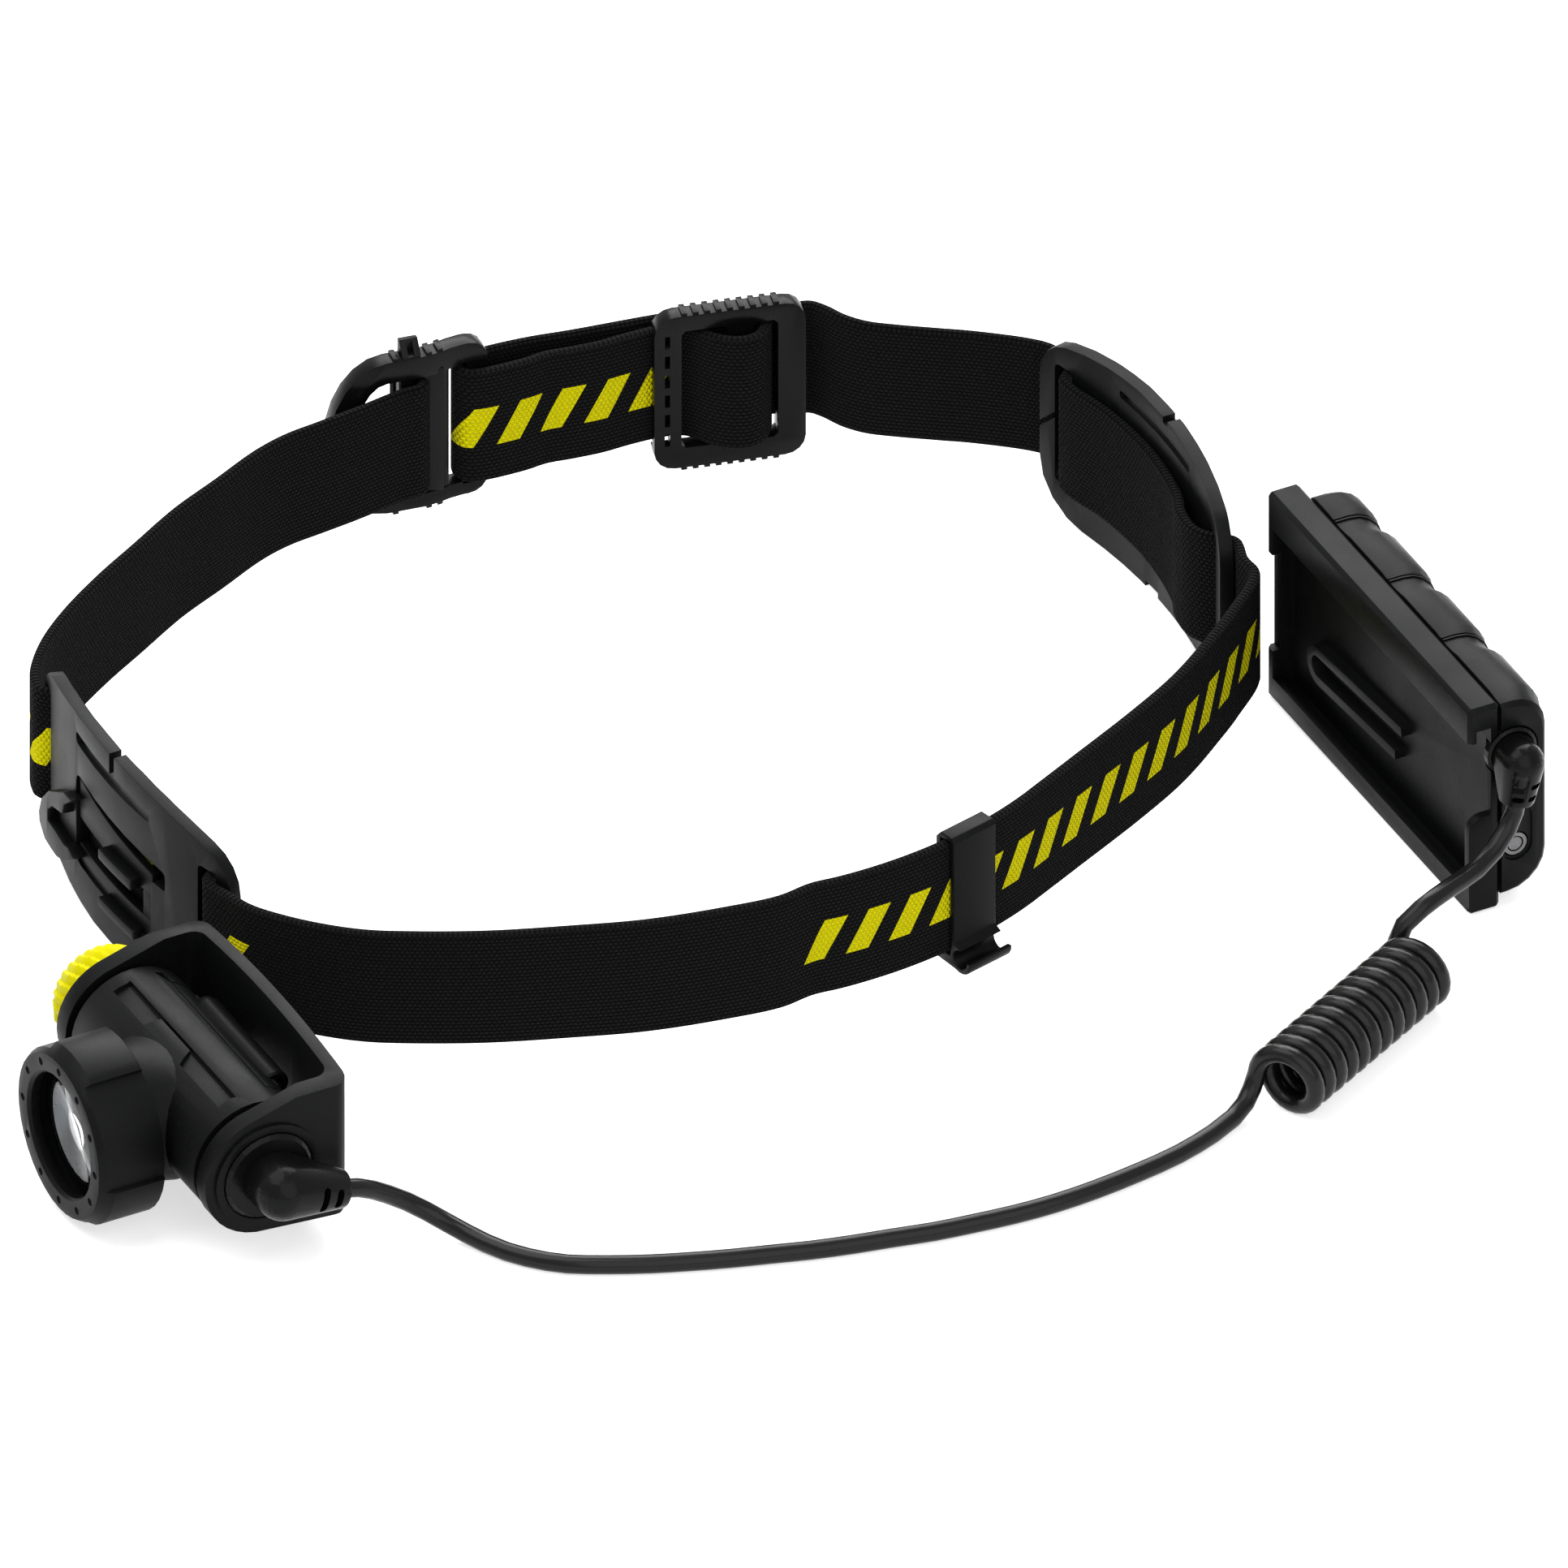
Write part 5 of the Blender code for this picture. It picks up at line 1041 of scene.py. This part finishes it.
@dataclass
class Band:
    """The elastic band: one long strip of webbing on edge, threaded through plates and buckles."""

    UV_NAME = "woven"
    PHASE_NAME = "stripe_phase"
    COUNT_NAME = "stripe_count"
    STRIPE_PITCH = 0.0089
    STRIPE_WIDTH = 0.0046
    STRIPE_SLANT = 0.55
    STRIPE_LOW = 0.0081
    STRIPE_HIGH = 0.0168
    width: float = 0.025
    thickness: float = 0.0022
    low: float = 0.009
    slack: float = 0.0003
    rounding: float = 0.0009
    pinch: float = 0.0016       # from a slot's middle to where the strap has left the slot
    rest: float = 0.0045        # from a slot's middle to where it lies on the plate
    ease: float = 0.0002
    dip: float = 0.0006
    bulge_share: float = 0.66   # share of the way to a slot where the strap stands off the plate most
    fine_spacing: float = 0.0003
    station_spacing: float = 0.0014
    fold_spacing: float = 0.0005
    fold_turn: float = 0.12
    back_shift: float = 0.1     # moves the cloth of the strip's back clear of the stripes
    arc_centre: tuple[float, float] = (-0.0178, -0.0217)
    arc_radius: float = 0.0928
    arc_ends: tuple[float, float] = (math.radians(-7.0), math.radians(27.0))
    arc_steps: int = 10
    stripes: tuple[tuple[float, float, int], ...] = (
        (0.200, 0.1199, 9), (0.202, 0.1199, 0), (0.205, 0.2089, 0), (0.255, 0.2089, 1), (0.258, 0.2089, 0),
        (0.262, 0.3245, 0), (0.500, 0.3245, 16), (0.510, 0.3245, 0), (0.520, 0.6684, 0),
        (2.0, 0.6684, 5))       # how far each stretch reaches, where its stripes start, how many they are

    FRONT_LOOP = ((0.0153, 0.0046), (0.0176, 0.0045), (0.0196, 0.0036), (0.0206, 0.0015), (0.0192, -0.0010),
                  (0.0156, -0.0016))
    LEFT_RUN = ((-0.1031, -0.0300), (-0.1021, -0.0370), (-0.1013, -0.0450), (-0.1006, -0.0520),
                (-0.0987, -0.0590), (-0.0937, -0.0703), (-0.0890, -0.0811), (-0.0822, -0.0933),
                (-0.0762, -0.1040), (-0.0690, -0.1150), (-0.0624, -0.1229), (-0.0560, -0.1283))
    RIGHT_RUN = ((0.0318, -0.1293), (0.0379, -0.1253), (0.0443, -0.1196), (0.0493, -0.1138),
                 (0.0532, -0.1074), (0.0600, -0.0940), (0.0656, -0.0798), (0.0706, -0.0655),
                 (0.0739, -0.0502), (0.0752, -0.0400))
    REAR_RUN = ((0.0599, 0.0308), (0.0527, 0.0457), (0.0465, 0.0573), (0.0422, 0.0639), (0.0368, 0.0711),
                (0.0309, 0.0785), (0.0220, 0.0876))
    BACK_RUN = ((-0.0638, 0.0853), (-0.0711, 0.0768), (-0.0746, 0.0719), (-0.0795, 0.0651), (-0.0832, 0.0606),
                (-0.0872, 0.0578), (-0.0912, 0.0562), (-0.0938, 0.0545), (-0.0950, 0.0515), (-0.0990, 0.0437),
                (-0.1004, 0.0385), (-0.1019, 0.0330), (-0.1034, 0.0259), (-0.1061, 0.0104), (-0.1077, 0.0027),
                (-0.1086, -0.0045))
    END_FOLD = ((0.0313, 0.0064), (0.0288, 0.0057), (0.0278, 0.0033), (0.0288, 0.0009), (0.0313, 0.0002))
    INNER_LAYER = ((-0.1019, -0.0014), (-0.1021, 0.0029), (-0.1012, 0.0080), (-0.1004, 0.0139),
                   (-0.1003, 0.0195))
    REAR_LOOP = ((0.0015, 0.0037), (0.0055, 0.0037), (0.0080, 0.0024), (0.0110, -0.0008), (0.0140, -0.0026),
                 (0.0168, -0.0031), (0.0194, -0.0022), (0.0213, 0.0004), (0.0218, 0.0030), (0.0202, 0.0047),
                 (0.0178, 0.0049), (0.0150, 0.0049))

    def past_plate(self, plate: Plate) -> list[tuple[float, float]]:
        """Threads the strap through one plate.

        Args:
            plate: The plate.

        Returns:
            The way's points, from the plate's -X end to its +X end.
        """
        half = self.thickness / 2.0 + self.slack
        inside = plate.radius - half
        outside = plate.radius + plate.thickness + half
        middle = plate.radius + plate.thickness / 2.0
        low, high = plate.slots
        bulge, ease, dip = plate.bulge, self.ease, self.dip
        stops = ((low - plate.free_ends[0], outside + ease), (low - self.pinch, outside - ease),
                 (low, middle), (low + self.pinch, inside + ease), (low + self.rest, inside - dip),
                 (low / 2.0, inside), (0.0, inside), (high / 2.0, inside - bulge / 2.0),
                 (high * self.bulge_share, inside - bulge),
                 (high - self.rest, inside - dip - bulge / 2.0), (high - self.pinch, inside + ease),
                 (high, middle), (high + self.pinch, outside - ease),
                 (high + plate.free_ends[1], outside + ease))
        return [plate.point(along, radius) for along, radius in stops]

    def route(self) -> list[tuple[float, float]]:
        """The middle of the strap's thickness, from its end in the front buckle to its end in the rear one.

        Returns:
            The knots, from the middle of the layout.
        """
        start, end = self.arc_ends
        turns = [start + (end - start) * k / self.arc_steps for k in range(self.arc_steps + 1)]
        arc = [(self.arc_centre[0] + self.arc_radius * math.cos(turn),
                self.arc_centre[1] + self.arc_radius * math.sin(turn)) for turn in turns]
        front_loop, end_fold = ([FRONT_BUCKLE.point(*spot) for spot in run]
                                for run in (self.FRONT_LOOP, self.END_FOLD))
        rear_loop = [REAR_BUCKLE.point(*spot) for spot in self.REAR_LOOP]
        return [*front_loop, *self.LEFT_RUN, *self.past_plate(FRONT_PLATE), *self.RIGHT_RUN, *arc,
                *self.REAR_RUN, *reversed(self.past_plate(REAR_PLATE)), *self.BACK_RUN, *end_fold,
                *self.INNER_LAYER, *rear_loop]

    def section(self) -> list[Triple]:
        """The strip's cross-section.

        Returns:
            Out to the left, up, and the place on the cloth of each point.
        """
        half = self.thickness / 2.0
        outline = fillet([(side, up, self.rounding) for side, up in
                          ((-half, 0.0), (half, 0.0), (half, self.width), (-half, self.width))], 3)
        return [(side, up, up if side < half - self.ease else up + self.back_shift) for side, up in outline]

    def stations(self) -> tuple[list[Vector], list[Vector], list[float]]:
        """Chooses the places of the strip's cross-sections, closer together in its folds.

        Returns:
            Their points, the ways to their left and how far along the strip they are.
        """
        fine = spline(self.route(), self.fine_spacing)
        reached = [0.0]
        for before, after in zip(fine, fine[1:]):
            reached.append(reached[-1] + (after - before).length)
        points, sides, distances = [], [], []
        wanted = 0.0
        for index, distance in enumerate(reached):
            if distance >= wanted or index == len(fine) - 1:
                ahead = fine[min(index + 2, len(fine) - 1)] - fine[max(index - 2, 0)]
                points.append(fine[index])
                sides.append(Vector((-ahead.y, ahead.x)).normalized())
                distances.append(distance)
                straight = len(sides) < 2 or sides[-1].angle(sides[-2]) < self.fold_turn
                wanted = distance + (self.station_spacing if straight else self.fold_spacing)
        return points, sides, distances

    def lifts(self, corner: Triple, after: Triple) -> tuple[float, float]:
        """The cloth's place across the strip at a face's two sides.

        Args:
            corner: A point of the cross-section.
            after: The next one.

        Returns:
            The two places.
        """
        shift = self.back_shift if max(corner[2], after[2]) > self.back_shift / 2.0 else 0.0
        low, high = corner[1] + shift, after[1] + shift
        if abs(low - high) < self.dip:
            high = low + abs(corner[0] - after[0])
        return low, high

    def build(self) -> None:
        """Builds the strip, its cloth coordinates and its stripes."""
        points, sides, distances = self.stations()
        ring = self.section()
        bm = bmesh.new()
        rows = [[bm.verts.new((point.x + side.x * out, point.y + side.y * out, self.low + up))
                 for out, up, _ in ring] for point, side in zip(points, sides)]
        cloth = bm.loops.layers.uv.new(self.UV_NAME)
        for first, second, begin, end in zip(rows, rows[1:], distances, distances[1:]):
            for k, corner in enumerate(ring):
                after = (k + 1) % len(ring)
                face = bm.faces.new((first[k], first[after], second[after], second[k]))
                low, high = self.lifts(corner, ring[after])
                for loop, spot in zip(face.loops, ((begin, low), (begin, high), (end, high), (end, low))):
                    loop[cloth].uv = spot
        bm.faces.new(rows[0])
        bm.faces.new(reversed(rows[-1]))
        bmesh.ops.recalc_face_normals(bm, faces=bm.faces)
        strap = place("elastic_band", settled(bm), ("strap",), WEB, sharp_angle=60.0)
        self.stripe(strap, np.repeat(distances, len(ring)))

    def stripe(self, strap: bpy.types.Object, distances: Sequence[float]) -> None:
        """Stores where the rows of woven stripes start and how many there are.

        Args:
            strap: The strip.
            distances: How far along it each vertex is.
        """
        start, number = (strap.data.attributes.new(name, "FLOAT", "POINT")
                         for name in (self.PHASE_NAME, self.COUNT_NAME))
        for index, distance in enumerate(distances):
            phase, amount = next(row[1:] for row in self.stripes if distance < row[0])
            start.data[index].value = phase
            number.data[index].value = amount


# ---- lamp head --------------------------------------------------------------------------------------
@dataclass
class LampHead:
    """The tilting barrel with its neck, rear cover, bezel, optic and dimmer wheel."""

    pivot: Place = (0.0623, -0.1571, 0.0195)
    beam_height: float = 0.0184
    barrel_radius: float = 0.0126
    barrel_edge: float = 0.00022
    cutter_top: float = 0.003           # how far cutters stand out of the barrel
    strip_ends: tuple[float, float] = (-0.0214, 0.0211)
    strip_gap: tuple[float, float] = (-0.0078, 0.0042)
    strip_turn: float = math.radians(17.3)
    strip_tip: float = math.radians(5.0)
    strip_half_width: float = 0.0019
    strip_depth: float = 0.0010
    strip_slant: float = 0.0012
    strip_ease: float = 0.0002
    strip_lean: float = 0.0008
    groove_turn: float = math.radians(9.6)
    groove_half_width: float = 0.00030
    groove_depth: float = 0.0011
    vent_turn: float = math.radians(-20.0)
    vent_depth: float = 0.0012
    cover_radius: float = 0.01285
    cover_reach: float = 0.03
    boss_turn: float = math.radians(57.0)
    boss_reach: float = 0.0121
    boss_radius: float = 0.0030
    boss_ends: tuple[float, float] = (-0.0160, 0.0140)
    boss_edge: float = 0.0004
    screw_radius: float = 0.00105
    screw_ends: tuple[float, float] = (-0.0016, 0.004)
    screw_offset: float = 0.0009
    bezel_front: float = -0.1852
    dimple_circle: float = 0.0145
    dimple_count: int = 12
    optic_face: float = -0.1816
    optic_facets: int = 26
    wheel_offset: float = -0.03045
    wheel_steps: int = 168
    rib_count: float = 28.0
    rib_slant: float = 110.0            # turns of the rib pattern for each metre of height
    rib_depth: float = 0.075            # share of the radius
    rib_width: float = 0.7              # share of a rib's pitch
    rib_rise: float = 0.08
    rib_start: tuple[float, float] = (0.0088, 0.0003)

    SIDE = (1.0, 0.0, 0.0)
    BEAM = (0.0, -1.0, 0.0)
    BOSS_TIP = ((0.0, 0.0), (0.5, 0.0002), (0.85, 0.0011), (1.0, 0.0027))
    DIMPLE = ((0.0, -0.0006), (0.0006, -0.0005), (0.0008, -0.0002), (0.0008, 0.001), (0.0, 0.001))
    VENT = ((-0.0224, -0.0006), (-0.0188, 0.0012), (-0.0226, 0.0014))
    DISC = ((0.0, -0.0012), (0.0102, -0.0012), (0.0102, -0.0002), (0.0099, 0.0), (0.0040, 0.0),
            (0.0034, 0.0003), (0.0, 0.0006))
    CONE = ((0.0099, -0.0014), (0.0072, -0.0022), (0.0032, -0.0040), (0.0029, -0.0042), (0.0101, -0.0042))
    WHEEL = ((0.0, 0.0), (0.0108, 0.0), (0.0112, 0.0004), (0.0112, 0.0016), (0.0112, 0.0028),
             (0.0112, 0.0040), (0.0107, 0.0052), (0.0102, 0.0063), (0.0096, 0.0076), (0.0091, 0.0081),
             (0.0084, 0.0082), (0.0080, 0.0080), (0.0, 0.0080))

    @property
    def middle(self) -> Vector:
        """The pivot's place in the frame."""
        return ORIGIN + Vector(self.pivot)

    def barrel_cutter(self, outline: Outline, depth: float, turn: float, tip: float = 0.0) -> Shape:
        """A cutter that sinks a shape into the top of the barrel.

        Args:
            outline: Along the barrel and forwards.
            depth: How deep it goes.
            turn: Angle about the barrel's axis, from straight up towards the beam.
            tip: Angle that the sunk floor leans by.

        Returns:
            The cutter in the frame.
        """
        top = self.barrel_radius
        bm = prism(outline, top - depth, top + self.cutter_top, Axis.Z)
        bmesh.ops.rotate(bm, matrix=Matrix.Rotation(tip, 3, "X"), cent=(0.0, 0.0, top), verts=bm.verts)
        bmesh.ops.transform(bm, matrix=Matrix.Translation(self.middle) @ Matrix.Rotation(turn, 4, "X"),
                            verts=bm.verts)
        return bm

    def barrel(self) -> None:
        """The barrel with its name strip, groove, vent and softened edges."""
        (low, high), (gap_low, gap_high) = self.strip_ends, self.strip_gap
        half, slant, ease = self.strip_half_width, self.strip_slant, self.strip_ease
        left = ((low, -half), (gap_low - slant, -half), (gap_low, half), (low + ease, half))
        right = ((gap_high + slant, -half), (high, -half), (high - ease, half),
                 (gap_high - self.strip_lean, half))
        groove = rectangle(low, -self.groove_half_width, high, self.groove_half_width)
        tools = [self.barrel_cutter(strip, self.strip_depth, self.strip_turn, self.strip_tip)
                 for strip in (left, right)]
        tools.append(self.barrel_cutter(groove, self.groove_depth, self.groove_turn))
        tools.append(self.barrel_cutter(self.VENT, self.vent_depth, self.vent_turn))
        shape = softened(combined(copy_of("lamp_housing"), tools, Work.CUT), self.barrel_edge)
        place("barrel_and_neck", shape, ("lamp_housing",), body=Body.HEAD)

    def cover(self) -> None:
        """The barrel's rear cover, trimmed round."""
        reach = self.cover_reach
        trim = turned(((0.0, -reach), (self.cover_radius, -reach), (self.cover_radius, reach), (0.0, reach)),
                      self.SIDE, self.middle, steps=96)
        shape = softened(combined(copy_of("barrel_cover"), [trim], Work.TRIM), FINE_EDGE)
        place("rear_cover", shape, ("barrel_cover",), body=Body.HEAD)

    def boss(self) -> None:
        """The rounded boss on the cover, with a screw hole in its end."""
        way = Vector((0.0, math.sin(self.boss_turn), math.cos(self.boss_turn)))
        (low, high), radius, edge = self.boss_ends, self.boss_radius, self.boss_edge
        profile = [(share * radius, low + rise) for share, rise in self.BOSS_TIP]
        profile += [(radius, high - edge), (radius - edge, high), (0.0, high)]
        boss = turned(profile, self.SIDE, self.middle + way * self.boss_reach, steps=40)
        floor, top = self.screw_ends
        end = self.middle + way * (self.boss_reach + self.screw_offset) + Vector((high, 0.0, 0.0))
        hole = turned(((0.0, floor), (self.screw_radius, floor), (self.screw_radius, top), (0.0, top)),
                      self.SIDE, end, steps=24)
        place("cover_boss", combined(boss, [hole], Work.CUT), body=Body.HEAD)

    def bezel(self) -> None:
        """The focusing bezel with a ring of small dimples."""
        tools = [turned(self.DIMPLE, self.BEAM, ORIGIN + Vector((x, self.bezel_front, z)), steps=16)
                 for x, z in circle(self.pivot[0], self.beam_height, self.dimple_circle, self.dimple_count)]
        shape = combined(softened(copy_of("focus_bezel"), FINE_EDGE), tools, Work.CUT)
        place("grip_bezel", shape, ("focus_bezel",), body=Body.BEZEL)

    def optic(self) -> None:
        """The clear front disc with the faceted cone behind it."""
        face = ORIGIN + Vector((self.pivot[0], self.optic_face, self.beam_height))
        disc = turned(self.DISC, self.BEAM, face, steps=64)
        place("front_disc", disc, ("focus_lens",), LENS, Body.OPTIC)
        cone = turned(self.CONE, self.BEAM, face, steps=self.optic_facets, ring=True)
        place("faceted_cone", cone, (), MIRROR, Body.OPTIC, sharp_angle=8.0)

    def wheel(self) -> None:
        """The dimmer wheel with slanted ribs over its rim and cone."""
        bm = turned(self.WHEEL, UP, steps=self.wheel_steps)
        for corner in bm.verts:
            radius, height = corner.co.to_2d().length, corner.co.z
            if radius > self.rib_start[0] and height > self.rib_start[1]:
                saw = (self.rib_count * math.atan2(corner.co.y, corner.co.x) / (2.0 * math.pi)
                       + self.rib_slant * height) % 1.0
                rise = 1.0 if saw > self.rib_rise else saw / self.rib_rise
                shrink = 1.0 - self.rib_depth * max(0.0, 1.0 - saw / self.rib_width) * rise
                corner.co.x *= shrink
                corner.co.y *= shrink
        turn = UP.rotation_difference(Vector((-1.0, 0.0, 0.0))).to_matrix().to_4x4()
        centre = ORIGIN + (Vector(self.pivot) + Vector((self.wheel_offset, 0.0, 0.0)))
        bmesh.ops.transform(bm, matrix=Matrix.Translation(centre) @ turn, verts=bm.verts)
        place("ribbed_wheel", bm, ("brightness_wheel",), YELLOW, Body.WHEEL, sharp_angle=24.0)

    def build(self) -> None:
        """Builds the head."""
        for piece in (self.barrel, self.cover, self.boss, self.bezel, self.optic, self.wheel):
            piece()


# ---- strain reliefs ---------------------------------------------------------------------------------
@dataclass
class StrainRelief:
    """A moulded elbow whose tail has grip windows cut into two sides.

    A window is its share of the way along the tail, its offset, its half height and its half width.
    """

    name: str
    replaces: str
    start: Place
    tail: Place
    stem: float
    radii: Triple               # of the stem, the dome and the tail's end
    windows: tuple[tuple[float, float, float, float], ...]
    depth: float = 0.0020
    cutter_reach: float = 0.009
    tip_taper: float = 0.96
    tip_step: float = 0.0003
    facets: int = 32
    rings: int = 20
    window_facets: int = 12

    def elbow(self) -> Shape:
        """Joins the stem, dome and tail in one smooth shape.

        Returns:
            The shape in the frame.
        """
        start, way = Vector(self.start), Vector(self.tail).normalized()
        end, turn = start + Vector(self.tail), UP.rotation_difference(way)
        stem, dome, tip = self.radii
        bm = bmesh.new()
        bmesh.ops.create_uvsphere(bm, u_segments=self.facets, v_segments=self.rings, radius=dome,
                                  matrix=Matrix.Translation(start))
        for radius, centre in ((tip, end), (tip * self.tip_taper, end + way * self.tip_step)):
            for a, b in circle(0.0, 0.0, radius, self.facets):
                bm.verts.new(centre + turn @ Vector((a, b, 0.0)))
        for a, b in circle(0.0, 0.0, stem, self.facets):
            bm.verts.new(start + Vector((-self.stem, a, b)))
        made = bmesh.ops.convex_hull(bm, input=bm.verts)
        loose = {item for key in ("geom_interior", "geom_unused") for item in made[key]
                 if isinstance(item, bmesh.types.BMVert)}
        bmesh.ops.delete(bm, geom=list(loose), context="VERTS")
        bmesh.ops.recalc_face_normals(bm, faces=bm.faces)
        return settled(bm)

    def build(self) -> None:
        """Builds the elbow."""
        way = Vector(self.tail).normalized()
        across = Vector((0.0, way.z, -way.y))
        tools = []
        for share, offset, half_height, half_width in self.windows:
            middle = Vector(self.start) + share * Vector(self.tail) + across * offset + ORIGIN
            low, high = (middle + across * sign * (half_height - half_width) for sign in (-1.0, 1.0))
            outline = capsule(low.yz, high.yz, half_width, self.window_facets)
            tools.append(prism(outline, middle.x + self.depth, middle.x + self.cutter_reach, Axis.X))
            tools.append(prism(outline, middle.x - self.cutter_reach, middle.x - self.depth, Axis.X))
        place(self.name, combined(self.elbow(), tools, Work.CUT), (self.replaces,), SMOOTH_PLASTIC)


LAMP_RELIEF = StrainRelief("windowed_lamp_elbow", "lamp_strain_relief", (0.0988, -0.1571, 0.0195),
                           (0.0, 0.0122, -0.0034), 0.0052, (0.0058, 0.0057, 0.0038),
                           ((0.56, 0.0, 0.0026, 0.0008), (0.82, 0.0, 0.0020, 0.0008)))
PACK_RELIEF = StrainRelief("windowed_pack_elbow", "pack_strain_relief", (0.1018, 0.1024, 0.0349),
                           (0.0, -0.0013, -0.0076), 0.0040, (0.0042, 0.0042, 0.0035),
                           ((0.44, 0.0017, 0.0013, 0.0006), (0.44, -0.0017, 0.0013, 0.0006),
                            (0.80, 0.0015, 0.0011, 0.0006), (0.80, -0.0015, 0.0011, 0.0006)), 0.0018)


# ---- plates, sliders and pack -----------------------------------------------------------------------
@dataclass
class FrontPlate:
    """The curved plate that the bracket clips onto: hook, rails and the recessed frame of its window."""

    shape: Plate
    edge: float = 0.0005
    recess: float = 0.0006
    frame_low: float = 0.0004
    frame_edge: float = 0.0002
    frame_corner: float = 0.0007
    sill: Limits = (-0.0157, 0.0088, 0.0138, 0.0131)
    cheek: Limits = (0.0106, 0.0129, 0.0138, 0.0190)
    rails: tuple[Limits, ...] = ((-0.0022, 0.0186, 0.0098, 0.0210), (-0.0022, 0.0079, 0.0108, 0.0100))
    rail_height: float = 0.0017
    rail_root: float = 0.0008
    rail_corner: float = 0.0004
    hook_height: float = 0.0021
    hook_root: float = 0.0006
    split: Limits = (-0.0008, 0.0366, 0.0009, 0.0470)
    FLAP = ((-0.0157, 0.0188), (0.0138, 0.0188), (0.0138, 0.0238), (-0.0157, 0.0275))
    HOOK = ((-0.0335, 0.0058), (-0.0340, 0.0080), (-0.0320, 0.0120), (-0.0265, 0.0176), (-0.0173, 0.0236),
            (-0.0130, 0.0245), (-0.0170, 0.0210), (-0.0180, 0.0182), (-0.0240, 0.0158), (-0.0270, 0.0130),
            (-0.0270, 0.0106), (-0.0215, 0.0116), (-0.0174, 0.0118), (-0.0148, 0.0125), (-0.0120, 0.0119),
            (-0.0174, 0.0078), (-0.0215, 0.0062), (-0.0290, 0.0048))

    def build(self) -> None:
        """Builds the plate, its window frame, rails and hook."""
        thick, bent = self.shape.thickness, self.shape.bent
        place("bracket_plate", self.shape.split("front_mount_plate", [rectangle(*self.split)], self.edge),
              ("front_mount_plate",))
        for name, outline in (("window_sill", rectangle(*self.sill, self.frame_corner)),
                              ("window_flap", self.FLAP),
                              ("window_cheek", rectangle(*self.cheek, self.frame_corner))):
            place(name, bent(outline, self.frame_low, thick - self.recess, self.frame_edge))
        for index, limits in enumerate(self.rails):
            rail = bent(rectangle(*limits, self.rail_corner), thick - self.rail_root,
                        thick + self.rail_height, FINE_EDGE)
            place(f"guide_rail_{index + 1}", rail)
        place("catch_hook", bent(self.HOOK, thick - self.hook_root, thick + self.hook_height, FINE_EDGE))


@dataclass
class RearPlate:
    """The plate that carries the battery pack, with threading splits in its edges."""

    shape: Plate
    edge: float = 0.0005
    notches: tuple[Limits, ...] = ((0.0026, 0.0415, 0.0046, 0.0480), (-0.0043, -0.0030, 0.0005, 0.0012))
    END_SPLIT = ((-0.0385, 0.0170), (-0.0385, 0.0183), (-0.0318, 0.0246), (-0.0318, 0.0233))

    def build(self) -> None:
        """Builds the plate."""
        cuts = [self.END_SPLIT, *(rectangle(*limits) for limits in self.notches)]
        place("pack_plate", self.shape.split("rear_mount_plate", cuts, self.edge), ("rear_mount_plate",))


@dataclass
class Sliders:
    """The two slider buckles, and the web between the front one's sewn bar and slit bar."""

    edge: float = 0.0004
    web: Limits = (0.0204, 0.0004, 0.0243, 0.0022)
    web_span: tuple[float, float] = (0.0080, 0.0360)

    def build(self) -> None:
        """Builds the sliders."""
        for node in ("front_slider_buckle", "rear_slider_buckle"):
            RoundedNode(node + "_moulding", node, self.edge, 2, SMOOTH_PLASTIC).build()
        corners = [FRONT_BUCKLE.point(*corner) for corner in rectangle(*self.web)]
        web = softened(prism(corners, *self.web_span, Axis.Z), FINE_EDGE)
        place("slider_web", settled(web), finish=SMOOTH_PLASTIC)


@dataclass
class BatteryPack:
    """The pack's tray and its waved shell with a double bead across every wave."""

    shell_edge: float = 0.0004
    left: float = 0.0157
    beads: Triple = (0.0142, 0.0360, 0.0576)
    bead_width: float = 0.00032
    bead_gap: float = 0.00075
    bead_growth: float = 1.014
    middle: tuple[float, float] = (0.0990, 0.0232)
    slab_depth: tuple[float, float] = (0.0005, 0.05)
    slab_height: tuple[float, float] = (-0.01, 0.08)

    def bead(self, x: float) -> Shape:
        """A thin bead over the shell, grown out of its middle.

        Args:
            x: Where it lies, in the frame.

        Returns:
            The shape in the frame.
        """
        centre = ORIGIN + Vector((0.0, *self.middle))
        half, (near, far) = self.bead_width / 2.0, self.slab_depth
        outline = rectangle(x - half, centre.y + near, x + half, centre.y + far)
        slab = prism(outline, *self.slab_height, Axis.Z)
        bm = combined(copy_of("battery_shell"), [slab], Work.TRIM)
        for corner in bm.verts:
            corner.co.y = centre.y + (corner.co.y - centre.y) * self.bead_growth
            corner.co.z = centre.z + (corner.co.z - centre.z) * self.bead_growth
        return bm

    def build(self) -> None:
        """Builds the pack."""
        RoundedNode("pack_tray", "battery_tray").build()
        RoundedNode("pack_shell", "battery_shell", self.shell_edge, 2).build()
        for index, spot in enumerate(self.beads):
            for letter, side in (("a", -0.5), ("b", 0.5)):
                x = ORIGIN.x + self.left + spot + side * self.bead_gap
                place(f"shell_bead_{index + 1}{letter}", self.bead(x))


def main() -> None:
    """Builds the lamp's looks in order."""
    logging.basicConfig(level=logging.INFO, format="%(message)s")
    for part in (Studio(), Lead(), Band(), LampHead(), LAMP_RELIEF, PACK_RELIEF):
        part.build()
    for finish, nodes in CARRIED.items():
        for node in nodes:
            carried(node, finish)
    for part in (FrontPlate(FRONT_PLATE), RearPlate(REAR_PLATE), Sliders(), BatteryPack(),
                 RoundedNode("bracket", "lamp_yoke"),
                 RoundedNode("lead_clip", "cable_clip", FINE_EDGE, 2, body=Body.CLIP)):
        part.build()


if __name__ == "__main__":
    main()
